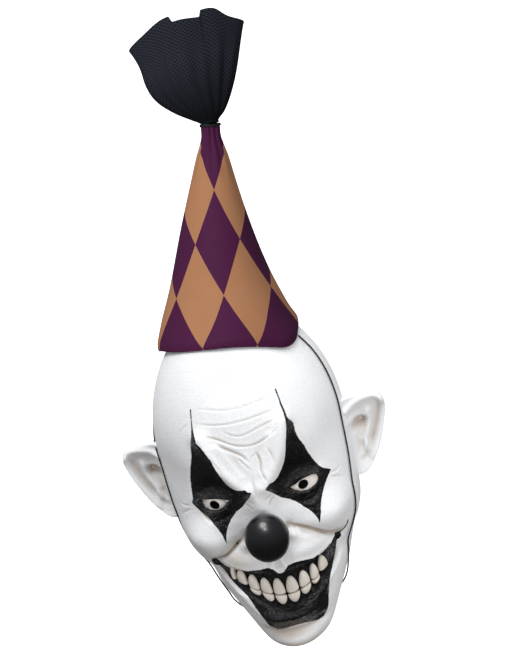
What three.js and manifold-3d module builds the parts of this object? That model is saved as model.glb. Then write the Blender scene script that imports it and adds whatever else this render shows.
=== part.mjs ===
// Clown mask: a hollow latex head with a black nose ball and two rows of teeth, under a soft
// harlequin cone hat with a gathered net tuft and a black elastic that runs under the chin.
// Millimetres, +Z up, the face looks along -Y, +X is the viewer's right.
// Heights named "up" are measured from the middle of the nose ball.
import * as THREE from "three";
import { mergeVertices } from "three/addons/utils/BufferGeometryUtils.js";
import Module from "manifold-3d";

const wasm = await Module();
wasm.setup();

// Head
const crownUp = 188; // top of the dome
const browUp = 68; // level where the dome is widest
const domeTaper = 1.2; // above 1 the dome narrows toward the top
const roundness = 2.15; // 2 is an ellipse, more is squarer
const brow = { half: 89.3, front: 98, back: 110 };
const wall = 3;
const domeRings = 8;
const faceRings = 32;
const frontColumns = 42;
const backColumns = 12;
const capRise = 8; // middle of the head's underside over the mean of its rim

// Head below the brow; the row above the brow level keeps the sides upright there
const headRows = [
  { up: 96, half: 88.5, front: 97, back: 108 },
  { up: 68, half: 89.3, front: 98, back: 110 },
  { up: 40, half: 89, front: 97, back: 108 },
  { up: 10, half: 87.3, front: 95, back: 103 },
  { up: -20, half: 84.6, front: 95, back: 97 },
  { up: -33, half: 80, front: 95.5, back: 94 },
  { up: -45, half: 74, front: 96, back: 92 },
  { up: -60, half: 68, front: 96.5, back: 90 },
  { up: -75, half: 61, front: 97, back: 90 },
  { up: -90, half: 53.5, front: 97.5, back: 90 },
  { up: -105, half: 46.5, front: 96.5, back: 90 },
  { up: -117, half: 41, front: 92.5, back: 90 },
  { up: -127, half: 36.5, front: 82, back: 90 },
];

// Lower edge of the head, by the turn from the front (degrees)
const rimRows = [
  { turn: 0, up: -125 },
  { turn: 24, up: -122 },
  { turn: 42, up: -120 },
  { turn: 55, up: -112 },
  { turn: 66, up: -91 },
  { turn: 76, up: -67 },
  { turn: 85, up: -50 },
  { turn: 95, up: -36 },
  { turn: 115, up: -32 },
  { turn: 140, up: -40 },
  { turn: 180, up: -46 },
];

// Relief: rounded mounds (rise above 0) and hollows, the same on both sides
const moundRows = [
  { name: "forehead", across: 0, up: 112, wide: 34, tall: 22, rise: 2 },
  { name: "frown", across: 0, up: 60, wide: 9, tall: 17, rise: 3 },
  { name: "temple", across: 76, up: 58, wide: 14, tall: 26, rise: -3 },
  { name: "socket", across: 42, up: 42, wide: 17, tall: 22, rise: -9 },
  { name: "eyeball", across: 41, up: 29, wide: 13, tall: 8, rise: 6 },
  { name: "eye bag", across: 40, up: 13, wide: 17, tall: 7, rise: 2 },
  { name: "cheek", across: 55, up: -3, wide: 19, tall: 17, rise: 12 },
  { name: "nose bridge", across: 0, up: 30, wide: 8, tall: 18, rise: 6 },
  { name: "nose pad", across: 0, up: -2, wide: 15, tall: 13, rise: 3 },
  { name: "nostril", across: 22, up: -9, wide: 6, tall: 7, rise: 5 },
  { name: "muzzle", across: 24, up: -28, wide: 20, tall: 9, rise: 4 },
  { name: "jowl", across: 66, up: -48, wide: 10, tall: 13, rise: -3 },
  { name: "lower lip", across: 0, up: -88, wide: 26, tall: 7, rise: 4 },
  { name: "chin", across: 0, up: -114, wide: 18, tall: 8, rise: 5 },
];

// Relief: rolls (rise above 0) and creases along an arc from one end to the other
const foldRows = [
  { name: "brow roll", x1: 37, up1: 96, x2: 30, up2: 64, x3: 9, up3: 44, wide: 8, rise: 7 },
  { name: "upper lid", x1: 26, up1: 37, x2: 42, up2: 42, x3: 57, up3: 36, wide: 5, rise: 3 },
  { name: "laugh line", x1: 20, up1: -2, x2: 42, up2: -14, x3: 62, up3: -33, wide: 5, rise: -5 },
  { name: "chin crease", x1: 0, up1: -103, x2: 14, up2: -103, x3: 28, up3: -103, wide: 4, rise: -3 },
];
const foldSteps = 8;

// Mouth, read across from the middle to the corner; the whole mouth tilts down to the right
const mouthRows = [
  { across: 0, lip: -44, gumTop: -50.6, bite: -67, gumLow: -77 },
  { across: 10, lip: -39, gumTop: -50, bite: -66, gumLow: -75.5 },
  { across: 20, lip: -38, gumTop: -48, bite: -63, gumLow: -71 },
  { across: 30, lip: -39, gumTop: -45, bite: -59.5, gumLow: -65 },
  { across: 40, lip: -37, gumTop: -41.3, bite: -54.7, gumLow: -58.5 },
  { across: 48, lip: -33, gumTop: -37.8, bite: -51, gumLow: -54 },
  { across: 60, lip: -31, gumTop: -35, bite: -40, gumLow: -42 },
];
const mouth = {
  depth: 5.6, lipRise: 1.2, lipWide: 4, room: 2.4, edge: 5, corner: 54.5, cornerFade: 8, tilt: 0.08,
};

// Teeth: the lines between neighbouring teeth across the face, and how they stand over the mouth
const upperEdges = [-47.5, -42.8, -33.1, -22.5, -11, 1.3, 14.7, 26.6, 35.8, 45.5];
const lowerEdges = [-38, -33.1, -22.5, -11, 1.3, 14.7, 26.6, 35.8, 40];
const tooth = { back: -4.2, rise: 4.2, gapRise: 2, biteGap: 0.6, scallop: 2 };
const toothShares = [0.03, 0.2, 0.5, 0.8, 0.97]; // sections across one tooth
const toothFront = [ // bite to root: share of the height, share of the rise
  { part: 0, rise: 0.6 },
  { part: 0.2, rise: 0.95 },
  { part: 0.55, rise: 1 },
  { part: 0.85, rise: 0.8 },
  { part: 1, rise: 0.4 },
];

// Nose ball and pupil holes
const nose = { across: 20.5, tall: 22.5, front: 113, back: 99.9, sides: 24, rows: 10 };
const pupil = { across: 41.4, up: 31, radius: 4.2, reach: 200, sides: 16 };

// Ear outline, front view, and its bowl
const earRows = [
  { across: 80, up: 71 },
  { across: 92, up: 72 },
  { across: 104, up: 71 },
  { across: 116, up: 70 },
  { across: 125, up: 64.5 },
  { across: 127, up: 54 },
  { across: 123, up: 40 },
  { across: 112, up: 15 },
  { across: 102, up: 0 },
  { across: 94, up: -6 },
  { across: 86, up: -5 },
  { across: 80, up: 3 },
];
const ear = { across: 99, up: 36, front: 8, sweep: 0.3, from: 86, points: 24 };
// Rings of the ear from the middle of its bowl, over the rim, to the middle of its back
const earRings = [
  { reach: 0.3, front: -6 },
  { reach: 0.52, front: -4 },
  { reach: 0.68, front: -0.5 },
  { reach: 0.8, front: -2.5 },
  { reach: 0.93, front: 2.5 },
  { reach: 1, front: -1 },
  { reach: 0.9, front: -6 },
  { reach: 0.5, front: -11 },
];

// Hat: an oval cone on the dome, leaning right and back, its front turned to the right
const hat = {
  across: -0.3, front: -16.5, up: 147, leanRight: 7.2, leanBack: 12.2, twist: 19, slant: 7.5, bow: 3.2,
  half: 65.6, depth: 82, tall: 198.9, neck: 8.3, cloth: 1.6, columns: 36, hemShare: 0.16,
};
// Hem to neck: share of the height, reach from the neck (0) to the hem's full size (1)
const hatRows = [
  { share: 0, reach: 0.985 },
  { share: 0.015, reach: 1 },
  { share: 0.05, reach: 0.985 },
  { share: 0.3, reach: 0.657 },
  { share: 0.6, reach: 0.355 },
  { share: 0.85, reach: 0.119 },
  { share: 0.945, reach: 0.01 },
  { share: 1, reach: 0 },
];
// Soft hem: how far it rises over the plain cone's base and how far it bulges, by the turn (degrees)
const hemRows = [
  { turn: -180, rise: -2.5, out: 0 },
  { turn: -150, rise: -8, out: 0 },
  { turn: -120, rise: -6, out: 0 },
  { turn: -90, rise: -1, out: 0 },
  { turn: -60, rise: 1.2, out: 1.2 },
  { turn: -30, rise: 3, out: 1 },
  { turn: -10, rise: 2.5, out: 0 },
  { turn: 10, rise: -0.5, out: 1 },
  { turn: 30, rise: -4.5, out: 5.5 },
  { turn: 45, rise: -1.5, out: 3.5 },
  { turn: 60, rise: 4, out: 0 },
  { turn: 90, rise: 10.5, out: 0 },
  { turn: 120, rise: 13, out: 0 },
  { turn: 150, rise: 6.5, out: 0 },
  { turn: 180, rise: -2.5, out: 0 },
];
const tie = { radius: 9.7, thread: 0.7, tall: 4.6, above: 0.9, sides: 6, columns: 20 };

// Tuft: a gathered bell of net, flatter than it is wide, open at the top
const tuft = { leanLeft: 8, leanBack: 6, cloth: 1.2, gap: 1.9, columns: 36, folds: 5, flat: 0.62, fall: 19 };
const tuftRows = [
  { rise: 0, radius: 8.2, fold: 0, sway: 0 },
  { rise: 2.5, radius: 8.4, fold: 0.01, sway: 0 },
  { rise: 8, radius: 15, fold: 0.04, sway: -0.3 },
  { rise: 18, radius: 24.6, fold: 0.07, sway: -3 },
  { rise: 33, radius: 34.6, fold: 0.08, sway: -5.4 },
  { rise: 50, radius: 41, fold: 0.09, sway: -5.1 },
  { rise: 75, radius: 47.5, fold: 0.09, sway: -3 },
  { rise: 101, radius: 55, fold: 0.09, sway: -2.5 },
];

// Elastic: its run from the hat's left side, under the wearer's chin, to the hat's right side
const elastic = { radius: 0.75, sides: 6, steps: 80 };
const elasticRows = [
  { across: -57.5, front: -48.3, up: 144.1 },
  { across: -63.4, front: -46, up: 137 },
  { across: -72.9, front: -40, up: 122 },
  { across: -83.9, front: -29, up: 103 },
  { across: -88.8, front: -15, up: 88 },
  { across: -90.4, front: -2, up: 78 },
  { across: -90.2, front: 10, up: 71 },
  { across: -89, front: 17, up: 62 },
  { across: -88.2, front: 20.5, up: 50 },
  { across: -87.9, front: 22.5, up: 38 },
  { across: -87.7, front: 22.5, up: 27 },
  { across: -88, front: 19.5, up: 17 },
  { across: -88, front: 16, up: 7 },
  { across: -87.2, front: 13, up: -9 },
  { across: -85.3, front: 12.5, up: -21 },
  { across: -80.1, front: 17, up: -34 },
  { across: -69.6, front: 29, up: -48 },
  { across: -63.9, front: 35, up: -62 },
  { across: -57.7, front: 40, up: -76 },
  { across: -53.4, front: 42.4, up: -86 },
  { across: -43.6, front: 37.6, up: -100 },
  { across: -24, front: 33, up: -109 },
  { across: 0, front: 30, up: -112 },
  { across: 24, front: 33, up: -109 },
  { across: 44, front: 38, up: -97 },
  { across: 54.3, front: 43, up: -84 },
  { across: 60.9, front: 44, up: -65 },
  { across: 64.3, front: 43, up: -50 },
  { across: 71.4, front: 45, up: -36 },
  { across: 77.9, front: 46.6, up: -22 },
  { across: 81.1, front: 47.4, up: -8 },
  { across: 82, front: 44.6, up: 7 },
  { across: 84.5, front: 35, up: 31 },
  { across: 85.9, front: 29, up: 58 },
  { across: 86.7, front: 26, up: 84 },
  { across: 83.3, front: 20, up: 108 },
  { across: 76, front: 13, up: 128 },
  { across: 66, front: 11, up: 145.1 },
];

// Smooth value of one column of a table at a given key, through every row
function read(rows, key, column, at) {
  const down = rows[0][key] > rows[rows.length - 1][key] ? -1 : 1;
  const last = rows.length - 1;
  if (down * at <= down * rows[0][key]) return rows[0][column];
  if (down * at >= down * rows[last][key]) return rows[last][column];
  let i = 0;
  while (down * at > down * rows[i + 1][key]) i += 1;
  const slope = (k) => {
    const a = rows[Math.max(k - 1, 0)];
    const b = rows[Math.min(k + 1, last)];
    return (b[column] - a[column]) / (b[key] - a[key]);
  };
  const span = rows[i + 1][key] - rows[i][key];
  const t = (at - rows[i][key]) / span;
  const t2 = t * t;
  const t3 = t2 * t;
  return (
    (2 * t3 - 3 * t2 + 1) * rows[i][column] +
    (t3 - 2 * t2 + t) * span * slope(i) +
    (3 * t2 - 2 * t3) * rows[i + 1][column] +
    (t3 - t2) * span * slope(i + 1)
  );
}

const smooth = (low, high, at) => THREE.MathUtils.smoothstep(at, low, high);
const bell = (offset) => Math.exp(-offset * offset);
const power = (v, p) => Math.sign(v) * Math.abs(v) ** p;
const place = (across, front, up) => new THREE.Vector3(across, -front, up);

// Half width, front and back reach of the head at a level
function levelOf(up) {
  if (up <= browUp) {
    return {
      half: read(headRows, "up", "half", up),
      front: read(headRows, "up", "front", up),
      back: read(headRows, "up", "back", up),
    };
  }
  const share = (up - browUp) / (crownUp - browUp);
  const k = Math.sqrt(Math.max(1 - share * share, 0));
  return { half: brow.half * k ** domeTaper, front: brow.front * k, back: brow.back * k };
}

// Plain head: turn is the angle from the front, drop runs 0 at the crown, 1 at the rim
function headPoint(turn, drop) {
  const domeShare = domeRings / (domeRings + faceRings);
  let up;
  if (drop < domeShare) {
    up = browUp + (crownUp - browUp) * Math.cos((drop / domeShare) * (Math.PI / 2));
  } else {
    const rim = read(rimRows, "turn", "up", THREE.MathUtils.radToDeg(Math.abs(turn)));
    up = browUp + ((rim - browUp) * (drop - domeShare)) / (1 - domeShare);
  }
  const level = levelOf(up);
  const reach = Math.cos(turn) > 0 ? level.front : level.back;
  const across = level.half * power(Math.sin(turn), 2 / roundness);
  return place(across, reach * power(Math.cos(turn), 2 / roundness), up);
}

// Distance in the front view from a point to a fold's arc
function foldDistance(fold, across, up) {
  let nearest = Infinity;
  for (let i = 0; i <= foldSteps; i += 1) {
    const t = i / foldSteps;
    const a = (1 - t) * (1 - t);
    const b = 2 * t * (1 - t);
    const x = a * fold.x1 + b * fold.x2 + t * t * fold.x3;
    const z = a * fold.up1 + b * fold.up2 + t * t * fold.up3;
    nearest = Math.min(nearest, Math.hypot(across - x, up - z));
  }
  return nearest;
}

// Height of one of the mouth's lines at a place across the face
const mouthAt = (line, x) => read(mouthRows, "across", line, Math.abs(x)) - mouth.tilt * x;

// Height of the relief over the plain head, seen from the front
function relief(x, up) {
  const across = Math.abs(x);
  let rise = 0;
  for (const m of moundRows) {
    rise += m.rise * bell(Math.hypot((across - m.across) / m.wide, (up - m.up) / m.tall));
  }
  for (const f of foldRows) rise += f.rise * bell(foldDistance(f, across, up) / f.wide);
  const lip = mouthAt("lip", x);
  const top = mouthAt("gumTop", x) + mouth.room;
  const low = mouthAt("gumLow", x) - mouth.room;
  const inMouth = 1 - smooth(mouth.corner, mouth.corner + mouth.cornerFade, across);
  rise += mouth.lipRise * inMouth * bell((up - lip) / mouth.lipWide);
  const open = smooth(low - mouth.edge, low, up) * (1 - smooth(top, top + mouth.edge, up)) * inMouth;
  return rise * (1 - open) - mouth.depth * open;
}

// Head with relief, pushed out along the plain head's own normal
function facePoint(turn, drop, thinner) {
  const step = 0.004; // half the span, in turn and drop, for the slope
  const reach = 6; // the wall keeps the least relief this far around
  const p = headPoint(turn, drop);
  const aside = headPoint(turn + step, drop).sub(headPoint(turn - step, drop));
  const down = headPoint(turn, Math.min(drop + step, 1)).sub(headPoint(turn, drop - step));
  const out = down.cross(aside).normalize();
  const facing = smooth(-0.05, 0.3, Math.cos(turn));
  let rise = relief(p.x, p.z);
  if (thinner) {
    for (const [dx, dz] of [[reach, 0], [-reach, 0], [0, reach], [0, -reach]]) {
      rise = Math.min(rise, relief(p.x + dx, p.z + dz));
    }
  }
  return p.addScaledVector(out, rise * facing - thinner);
}

// A point in the front view of the face, raised by a set height over the plain head
function overFace(x, up, rise) {
  const at = (across, height) => {
    const level = levelOf(height);
    const share = Math.min(Math.abs(across) / level.half, 1) ** roundness;
    return place(across, level.front * (1 - share) ** (1 / roundness), height);
  };
  const step = 0.5;
  const aside = at(x + step, up).sub(at(x - step, up));
  const rising = at(x, up + step).sub(at(x, up - step));
  return at(x, up).addScaledVector(aside.cross(rising).normalize(), rise);
}

// A closed skin over a run of rings of points, each end closed to a middle point
function skin(rings, first, last) {
  const count = rings[0].length;
  const points = [first, ...rings.flat(), last];
  const index = [];
  const at = (ring, column) => 1 + ring * count + (column % count);
  for (let c = 0; c < count; c += 1) {
    index.push(0, at(0, c), at(0, c + 1));
    for (let r = 0; r + 1 < rings.length; r += 1) {
      index.push(at(r, c), at(r + 1, c), at(r + 1, c + 1));
      index.push(at(r, c), at(r + 1, c + 1), at(r, c + 1));
    }
    index.push(points.length - 1, at(rings.length - 1, c + 1), at(rings.length - 1, c));
  }
  const geometry = new THREE.BufferGeometry().setFromPoints(points);
  geometry.setIndex(index);
  return geometry;
}

const middleOf = (ring) =>
  ring.reduce((sum, p) => sum.add(p), new THREE.Vector3()).divideScalar(ring.length);

function solidOf(geometry) {
  return new wasm.Manifold(
    new wasm.Mesh({
      numProp: 3,
      vertProperties: new Float32Array(geometry.attributes.position.array),
      triVerts: new Uint32Array(geometry.index.array),
    }),
  );
}

function geometryOf(solid) {
  const mesh = solid.getMesh();
  const geometry = new THREE.BufferGeometry();
  geometry.setAttribute("position", new THREE.BufferAttribute(mesh.vertProperties, 3));
  geometry.setIndex(new THREE.BufferAttribute(mesh.triVerts, 1));
  return geometry;
}

const range = (count, make) => Array.from({ length: count }, (_, i) => make(i));

// Turns of the columns round the head, close together over the face
function headTurns(front, back) {
  const quarter = Math.PI / 2;
  return [
    ...range(front, (i) => -quarter + (Math.PI * i) / front),
    ...range(back, (i) => quarter + (Math.PI * i) / back),
  ];
}

function headSkin(turns, rings, thinner, extra) {
  const made = range(rings, (r) => turns.map((t) => facePoint(t, (r + 1) / rings, thinner)));
  const crown = place(0, 0, crownUp - thinner);
  const low = middleOf(made[made.length - 1]);
  if (extra) made.push(made[made.length - 1].map((p) => p.clone().setZ(p.z - extra)));
  low.z = extra ? headRows[headRows.length - 1].up - extra : low.z + capRise;
  return skin(made, crown, low);
}

// Mask shell: the head and both ears as one casting, hollow, open below
function earSkin(side) {
  const outline = new THREE.CatmullRomCurve3(
    earRows.map((row) => new THREE.Vector3(row.across, 0, row.up)),
    true,
  ).getSpacedPoints(ear.points);
  outline.pop();
  if (side > 0) outline.reverse();
  const point = (x, up, front) => {
    const sweep = ear.front - ear.sweep * (x - ear.from);
    return place(side * x, sweep + front, up);
  };
  const rings = earRings.map((ring) =>
    outline.map((o) =>
      point(
        ear.across + (o.x - ear.across) * ring.reach,
        ear.up + (o.z - ear.up) * ring.reach,
        ring.front,
      ),
    ),
  );
  const last = earRings.length - 1;
  return skin(
    rings,
    point(ear.across, ear.up, earRings[0].front),
    point(ear.across, ear.up, earRings[last].front),
  );
}

function pupilCut(side) {
  const cut = new THREE.CylinderGeometry(pupil.radius, pupil.radius, pupil.reach, pupil.sides);
  cut.deleteAttribute("normal");
  cut.deleteAttribute("uv");
  cut.translate(side * pupil.across, -pupil.reach / 2, pupil.up);
  return mergeVertices(cut);
}

function maskShell() {
  const hollowColumns = { front: 22, back: 8 };
  const hollowRings = 20;
  const below = 40; // how far the cut for the hollow runs past the rim
  const head = headSkin(headTurns(frontColumns, backColumns), domeRings + faceRings, 0, 0);
  const turns = headTurns(hollowColumns.front, hollowColumns.back);
  let shell = solidOf(head).add(solidOf(earSkin(1))).add(solidOf(earSkin(-1)));
  shell = shell.subtract(solidOf(headSkin(turns, hollowRings, wall, below)));
  shell = shell.subtract(solidOf(pupilCut(1))).subtract(solidOf(pupilCut(-1)));
  return geometryOf(shell);
}

// Teeth: one bar a row, lifted into a rounded front on each tooth
function toothRow(edges, upper) {
  const away = upper ? 1 : -1;
  const rings = [];
  for (let i = 0; i + 1 < edges.length; i += 1) {
    for (const share of toothShares) {
      const x = edges[i] + (edges[i + 1] - edges[i]) * share;
      const lump = 1 - Math.abs(2 * share - 1) ** 3;
      const edge = mouthAt("bite", x) + away * (tooth.biteGap + tooth.scallop * (1 - lump));
      const root = mouthAt(upper ? "gumTop" : "gumLow", x) - away * tooth.scallop * (1 - lump);
      const rise = tooth.gapRise + (tooth.rise - tooth.gapRise) * lump;
      const at = (part, height) =>
        overFace(x, edge + (root - edge) * part, tooth.back + rise * height);
      const front = toothFront.map((row) => at(row.part, row.rise));
      const ring = [...front, at(1, 0), at(0, 0)];
      rings.push(upper ? ring : ring.reverse());
    }
  }
  return skin(rings, middleOf(rings[0]), middleOf(rings[rings.length - 1]));
}

// Nose ball, cut flat where it sits on the face
function noseBall() {
  const flat = Math.PI - Math.acos((nose.front - nose.back) / nose.across);
  const rings = range(nose.rows, (r) => {
    const tip = (flat * (r + 1)) / nose.rows;
    return range(nose.sides, (c) => {
      const turn = (2 * Math.PI * c) / nose.sides;
      const out = Math.sin(tip);
      return place(
        nose.across * out * Math.cos(turn),
        nose.front + nose.across * Math.cos(tip),
        nose.tall * out * Math.sin(turn),
      );
    });
  });
  return skin(rings, place(0, nose.front + nose.across, 0), place(0, nose.back, 0));
}

// Hat: outside from the neck down to the hem, then the lining back up
function hatCone() {
  const twist = THREE.MathUtils.degToRad(hat.twist);
  const ring = (share, thinner) =>
    range(hat.columns, (c) => {
      const degrees = (360 * c) / hat.columns - 180;
      const turn = THREE.MathUtils.degToRad(degrees);
      const reach = read(hatRows, "share", "reach", share);
      const fade = 1 - smooth(0, hat.hemShare, share);
      const out = fade * read(hemRows, "turn", "out", degrees) - thinner;
      const side = (hat.neck + (hat.half - hat.neck) * reach + out) * Math.sin(turn);
      const ahead = (hat.neck + (hat.depth - hat.neck) * reach + out) * Math.cos(turn);
      const middle = hat.slant * share - hat.bow * (4 * share * (1 - share)) ** 2;
      return place(
        middle + side * Math.cos(twist) + ahead * Math.sin(twist),
        ahead * Math.cos(twist) - side * Math.sin(twist),
        hat.tall * share + fade * read(hemRows, "turn", "rise", degrees),
      );
    });
  const shares = hatRows.map((row) => row.share);
  const outside = shares.slice().reverse().map((share) => ring(share, 0));
  const lining = shares.slice(0, -1).map((share) => ring(share, hat.cloth));
  const top = place(hat.slant, 0, hat.tall);
  return skin([...outside, ...lining], top, middleOf(lining[lining.length - 1]));
}

// Tuft: inside from the gather up to the edge, then the outside back down; its sides end lower
function tuftBell() {
  const [foot] = tuftRows;
  const last = tuftRows[tuftRows.length - 1];
  const ring = (row, thinner) =>
    range(tuft.columns, (c) => {
      const turn = (2 * Math.PI * c) / tuft.columns;
      const wide = row.radius * (1 + row.fold * Math.cos(tuft.folds * turn)) - thinner;
      const deep = foot.radius - thinner + (wide + thinner - foot.radius) * tuft.flat;
      const fall = tuft.fall * (Math.sin(turn) * (row.rise / last.rise)) ** 2;
      return place(row.sway + wide * Math.sin(turn), deep * Math.cos(turn), row.rise - fall);
    });
  const inside = tuftRows.slice(1).map((row) => ring(row, tuft.cloth));
  const outside = tuftRows.slice().reverse().map((row) => ring(row, 0));
  return skin([...inside, ...outside], middleOf(inside[0]), place(0, 0, 0));
}

// Elastic: a round cord along its hand-set run
function elasticCord() {
  const run = new THREE.CatmullRomCurve3(
    elasticRows.map((row) => place(row.across, row.front, row.up)),
  );
  const section = new THREE.Shape(
    range(elastic.sides, (i) => {
      const turn = (2 * Math.PI * i) / elastic.sides;
      return new THREE.Vector2(Math.cos(turn), Math.sin(turn)).multiplyScalar(elastic.radius);
    }),
  );
  return new THREE.ExtrudeGeometry(section, {
    steps: elastic.steps,
    extrudePath: run,
    bevelEnabled: false,
  });
}

const finish = (color, roughness) => new THREE.MeshStandardMaterial({ color, roughness, metalness: 0 });
const latex = finish(0xf4f5f6, 0.55);
const paint = finish(0x17171b, 0.35);
const enamel = finish(0xdcd2c4, 0.4);
const cloth = finish(0x4f1d45, 0.8);
const net = finish(0x20232b, 0.85);
const rubber = finish(0x101012, 0.7);

function part(name, geometry, material) {
  const mesh = new THREE.Mesh(geometry, material);
  mesh.name = name;
  return mesh;
}

// The origin is the inside of the crown, where the head or stand bears
const clownMask = new THREE.Group();
const head = new THREE.Group();
head.position.z = wall - crownUp;
clownMask.add(head);
head.add(part("mask_shell", maskShell(), latex));
head.add(part("nose_ball", noseBall(), paint));
head.add(part("teeth_upper", toothRow(upperEdges, true), enamel));
head.add(part("teeth_lower", toothRow(lowerEdges, false), enamel));
head.add(part("chin_elastic", elasticCord(), rubber));

const hatSeat = new THREE.Group();
hatSeat.position.copy(place(hat.across, hat.front, hat.up));
hatSeat.rotation.x = -THREE.MathUtils.degToRad(hat.leanBack);
hatSeat.rotation.y = THREE.MathUtils.degToRad(hat.leanRight);
head.add(hatSeat);
hatSeat.add(part("hat_cone", hatCone(), cloth));

const band = new THREE.TorusGeometry(tie.radius, tie.thread, tie.sides, tie.columns);
const hatTie = part("hat_tie", band, rubber);
hatTie.position.set(hat.slant, 0, hat.tall + tie.above);
hatTie.scale.z = tie.tall / (2 * tie.thread);
hatSeat.add(hatTie);

const tuftSeat = new THREE.Group();
tuftSeat.position.set(hat.slant, 0, hat.tall + tuft.gap);
tuftSeat.rotation.x = -THREE.MathUtils.degToRad(tuft.leanBack);
tuftSeat.rotation.y = -THREE.MathUtils.degToRad(tuft.leanLeft);
hatSeat.add(tuftSeat);
tuftSeat.add(part("hat_tuft", tuftBell(), net));

export default clownMask;
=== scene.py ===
import bpy
import numpy as np
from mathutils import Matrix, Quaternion, Vector


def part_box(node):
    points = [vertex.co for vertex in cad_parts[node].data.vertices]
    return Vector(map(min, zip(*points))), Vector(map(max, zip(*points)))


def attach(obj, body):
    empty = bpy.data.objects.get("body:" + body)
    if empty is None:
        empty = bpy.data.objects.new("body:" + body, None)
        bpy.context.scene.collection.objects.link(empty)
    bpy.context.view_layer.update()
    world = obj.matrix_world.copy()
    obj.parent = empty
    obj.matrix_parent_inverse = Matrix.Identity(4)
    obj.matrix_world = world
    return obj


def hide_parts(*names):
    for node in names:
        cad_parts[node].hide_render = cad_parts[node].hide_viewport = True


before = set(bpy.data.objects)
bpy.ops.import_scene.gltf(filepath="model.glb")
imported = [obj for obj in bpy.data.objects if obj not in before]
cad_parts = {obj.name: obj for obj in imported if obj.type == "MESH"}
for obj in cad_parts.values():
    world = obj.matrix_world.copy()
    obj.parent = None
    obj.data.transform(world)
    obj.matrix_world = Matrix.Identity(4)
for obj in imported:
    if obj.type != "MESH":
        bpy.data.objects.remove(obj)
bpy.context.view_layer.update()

print("frame:", sorted(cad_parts))

# All shapes are worked out in millimetres. "up" is the height over the middle of the nose ball.
mm = 0.001
noseLow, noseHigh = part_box("nose_ball")
zeroUp = (noseLow.z + noseHigh.z) / 2 / mm


# Camera, in metres and degrees
view = {
    "distance": 2.2, "lens": 131.4, "azimuth": 5.8, "elevation": 18.5, "roll": -15.4,
    "target": (0.02965, 0.0, -0.02695), "farthest": 100,
}


# the viewer stands on a sphere round the target, looks at its middle,
# and is rolled about the line of sight
def makeCamera():
    turn, rise = np.radians([view["azimuth"], view["elevation"]])
    back = Vector((np.sin(turn) * np.cos(rise), -np.cos(turn) * np.cos(rise), np.sin(rise)))
    lens = bpy.data.cameras.new("camera")
    lens.lens = view["lens"]
    lens.clip_end = view["farthest"]
    viewer = bpy.data.objects.new("camera", lens)
    bpy.context.scene.collection.objects.link(viewer)
    viewer.location = Vector(view["target"]) + back * view["distance"]
    viewer.rotation_mode = "QUATERNION"
    roll = Quaternion((0, 0, 1), np.radians(view["roll"]))
    viewer.rotation_quaternion = (-back).to_track_quat("-Z", "Y") @ roll
    bpy.context.scene.camera = viewer


# a point from its place across, toward the front and up, in the row frame
def place(across, front, up):
    return np.stack(np.broadcast_arrays(across, -np.asarray(front, float), np.asarray(up) + zeroUp), -1)


# smooth curve through a table: cubic pieces,
# and the slope at a row is that of the line between its neighbours
def readRows(keys, values, at):
    x = np.asarray(keys, float)
    y = np.asarray(values, float)
    order = np.argsort(x)
    x, y = x[order], y[order]
    slope = np.gradient(y, x)
    slope[1:-1] = (y[2:] - y[:-2]) / (x[2:] - x[:-2])
    at = np.clip(at, x[0], x[-1])
    i = np.clip(np.searchsorted(x, at, side="right") - 1, 0, len(x) - 2)
    span = x[i + 1] - x[i]
    t = (at - x[i]) / span
    ends = (2 * t**3 - 3 * t**2 + 1) * y[i] + (3 * t**2 - 2 * t**3) * y[i + 1]
    return ends + span * ((t**3 - 2 * t**2 + t) * slope[i] + (t**3 - t**2) * slope[i + 1])


# 0 up to low, 1 from high, and 3 t t - 2 t t t between
def smooth(low, high, at):
    t = np.clip((at - low) / (high - low), 0, 1)
    return t * t * (3 - 2 * t)


# bell curve: e to the power of minus the offset squared
def bell(offset):
    return np.exp(-offset * offset)


# power that keeps the sign of its base
def power(value, exponent):
    return np.sign(value) * np.abs(value) ** exponent


# quads between neighbouring rows and columns of a grid; the last column meets the first,
# and an end point closes the first or the last row with a fan
def gridSkin(grid, first=None, last=None):
    rows, columns = grid.shape[:2]
    index = np.arange(rows * columns).reshape(rows, columns)
    beside = np.roll(index, -1, axis=1)
    quads = np.stack([index[:-1], index[1:], beside[1:], beside[:-1]], -1).reshape(-1, 4)
    points = grid.reshape(-1, 3)
    fans = [np.zeros((0, 3), int)]
    if first is not None:
        fans.append(np.stack([np.full(columns, len(points)), index[0], beside[0]], -1))
        points = np.vstack([points, first])
    if last is not None:
        fans.append(np.stack([np.full(columns, len(points)), beside[-1], index[-1]], -1))
        points = np.vstack([points, last])
    return points, quads, np.concatenate(fans)


# volume of a closed skin, the sum over its triangles of a third of area times height from the origin
def skinVolume(points, quads, fans):
    tris = np.concatenate([quads[:, [0, 1, 2]], quads[:, [0, 2, 3]], fans])
    a, b, c = (points[tris[:, k]] for k in range(3))
    return np.einsum("ij,ij->i", a, np.cross(b, c)).sum() / 6


# several skins as one, each turned so that it encloses a positive volume
def joinSkins(*skins):
    points, quads, fans, start = [], [], [], 0
    for p, q, f in skins:
        if skinVolume(p, q, f) < 0:
            q, f = q[:, ::-1], f[:, ::-1]
        points.append(p)
        quads.append(q + start)
        fans.append(f + start)
        start += len(p)
    return np.concatenate(points), np.concatenate(quads), np.concatenate(fans)


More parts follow.
